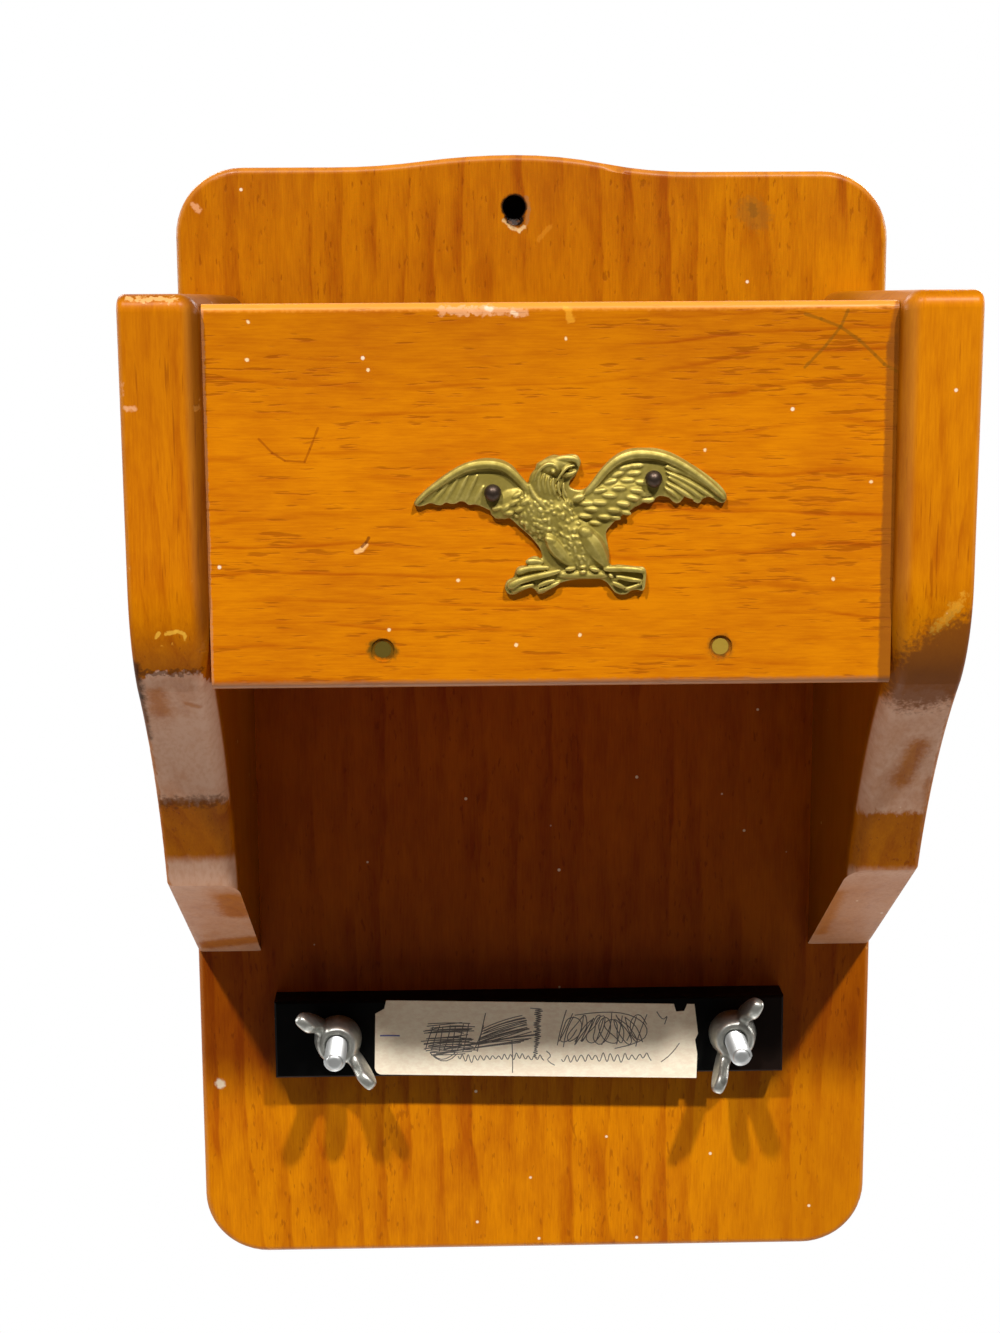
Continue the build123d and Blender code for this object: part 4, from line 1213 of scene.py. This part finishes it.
# The bar is browner towards its right end.
browner_end = fade(tree, parts(tree, place["Object"])["X"], 0.057, 0.066)
colour = blend(tree, browner_end, colour, linear(24, 14, 9))
colour = blend(tree, times(tree, dots["Specks"], 0.6), colour, linear(150, 140, 128))
feed(tree, shader, Base_Color=colour, Roughness=fade(tree, cloud, 0.3, 0.7, 0.42, 0.6),
     Normal=bumped(tree, cloud, 0.2, 0.0002), Specular_IOR_Level=0.08)
dress("clamp_bar", black_paint)

label_stock, tree, shader, place = material("label_stock")
fibres = stretched(tree, place["Object"], (500, 500, 900), 4.0, 0.65)
cloud = noise(tree, place["Object"], 60.0, 3.0)
colour = blend(tree, fade(tree, fibres, 0.35, 0.65), linear(253, 240, 213), linear(245, 227, 199))
colour = blend(tree, fade(tree, cloud, 0.5, 0.8, 0.0, 0.25), colour, linear(226, 206, 178))
feed(tree, shader, Base_Color=colour, Roughness=fade(tree, cloud, 0.2, 0.8, 0.8, 0.95),
     Normal=bumped(tree, fibres, 0.3, 0.0001))
dress("paper_label", label_stock)
print("bar and label dressed")

# %% Pencil scribble
def pencil_lead(name, dark, light, smoothest):
    """A lead's colour, broken up as the paper's grain breaks it."""
    made, tree, shader, place = material(name)
    cloud = noise(tree, place["Object"], 1500.0, 3.0)
    feed(tree, shader, Base_Color=blend(tree, cloud, dark, light),
         Roughness=fade(tree, cloud, 0.2, 0.8, smoothest, 0.7))
    return made


graphite = pencil_lead("graphite", linear(74, 68, 66), linear(124, 116, 108), 0.45)
blue_ink = pencil_lead("blue_ink", linear(70, 74, 140), linear(100, 104, 170), 0.5)


def pencil(name, strokes, half, made):
    """Fine lines on the label. Each stroke is a list of places in x and z, in millimetres."""
    curve = round_curve(half, 0, 3)
    for stroke in strokes:
        add_line(curve, [(x, 0, z, 1) for x, z in stroke])
    work = bmesh.new()
    join_curve(work, curve, Matrix.Diagonal((1, 0.25, 1, 1)))
    finish_piece(work, name, Matrix.Translation((0, label_face, 0)), "clamp", made)


random.seed(21)


def at(across, down):
    """A place on the label from its left and top edges, in millimetres."""
    return (label_low.x / mm + across, label_high.z / mm - down)


def jitter(points, amount):
    """The same places, each moved a little, as an unsteady hand would."""
    return [(x + random.uniform(-amount, amount), z + random.uniform(-amount, amount)) for x, z in points]


strokes = []
for line in range(26):
    down = 7.6 + line * 0.36 + random.uniform(-0.5, 0.5)
    left = 15.0 + random.uniform(-0.6, 2.2)
    strokes.append(jitter([at(left, down + 0.5), at(left + 6, down + random.uniform(-1.2, 0.4)),
                           at(left + 12 + random.uniform(-2, 3), down)], 0.5))
for line in range(7):
    left = 15.5 + line * 1.9
    strokes.append(jitter([at(left, 16), at(left + 0.8, 12),
                           at(left + 1.6 + random.uniform(-0.5, 0.5), 8)], 0.5))
for line in range(13):
    strokes.append(jitter([at(30.5 + line * 0.2, 14.6 - line * 0.42), at(38, 12.6 - line * 0.48),
                           at(47 - line * 0.2, 10.0 - line * 0.36)], 0.45))
for line in range(6):
    strokes.append(jitter([at(17 + line, 17.6 - line * 0.5), at(30, 15.4 - line * 0.4),
                           at(44 + line, 13.2 - line * 0.4)], 0.6))
strokes += [jitter(points, 0.3) for points in (
    [at(33.4, 4.0), at(32.0, 9.5), at(30.6, 16.5)], [at(32.6, 8.5), at(31.6, 12.5), at(30.0, 16.0)],
    [at(16.5, 16.5), at(20.4, 21.6), at(25.0, 17.0)], [at(17.6, 17.4), at(20.6, 20.2), at(24.0, 16.6)],
    [at(41.2, 13.0), at(41.4, 19.0), at(41.2, 23.4)], [at(57.4, 3.6), at(56.0, 9.0), at(54.6, 15.0)],
    [at(59.6, 5.0), at(57.0, 10.0), at(55.4, 13.6)])]
zigzag = [at(47.2 + (step % 2) * (4.4 - step * 0.05) + random.uniform(-0.7, 0.7), 3.0 + step * 0.33)
          for step in range(48)]
loops = [at(57.5 + step * 0.27 + 2.6 * math.cos(step * 0.9) + random.uniform(-0.9, 0.9),
            10.2 + 4.4 * math.sin(step * 0.83) + random.uniform(-1.0, 1.0)) for step in range(84)]
for line in range(8):
    left = 57.0 + line * 2.9
    strokes.append(jitter([at(left, 14.6), at(left + 1.6, 10.0 + (line % 3)), at(left + 3.6, 6.0)], 1.3))
arch = [at(60, 5.4), at(68, 4.2), at(77, 5.2), at(82.5, 9.5), at(80.5, 14.5), at(72, 16.0)]
rows = [[at(25 + step * 0.6, 18.4 + 1.4 * math.sin(step * 2.1) + random.uniform(-0.7, 0.7))
         for step in range(44)],
        [at(56 + step * 0.66, 18.8 + 1.5 * math.sin(step * 1.9) + random.uniform(-0.8, 0.8))
         for step in range(42)],
        [at(84.6, 4.6), at(86.4, 8.0), at(88.2, 5.0), at(87.0, 8.6)],
        [at(86, 20.4), at(89, 18.6), at(91.5, 14.6)],
        [at(51.5, 16.5), at(53.5, 18.0), at(51.0, 19.4), at(54.0, 21.0)]]
pencil("pencil_scribble", strokes + [zigzag, loops, arch] + rows, 0.145, graphite)
pencil("blue_tick", [[(-41.5, -242.6), (-38.2, -242.5), (-35.6, -242.7)]], 0.22, blue_ink)
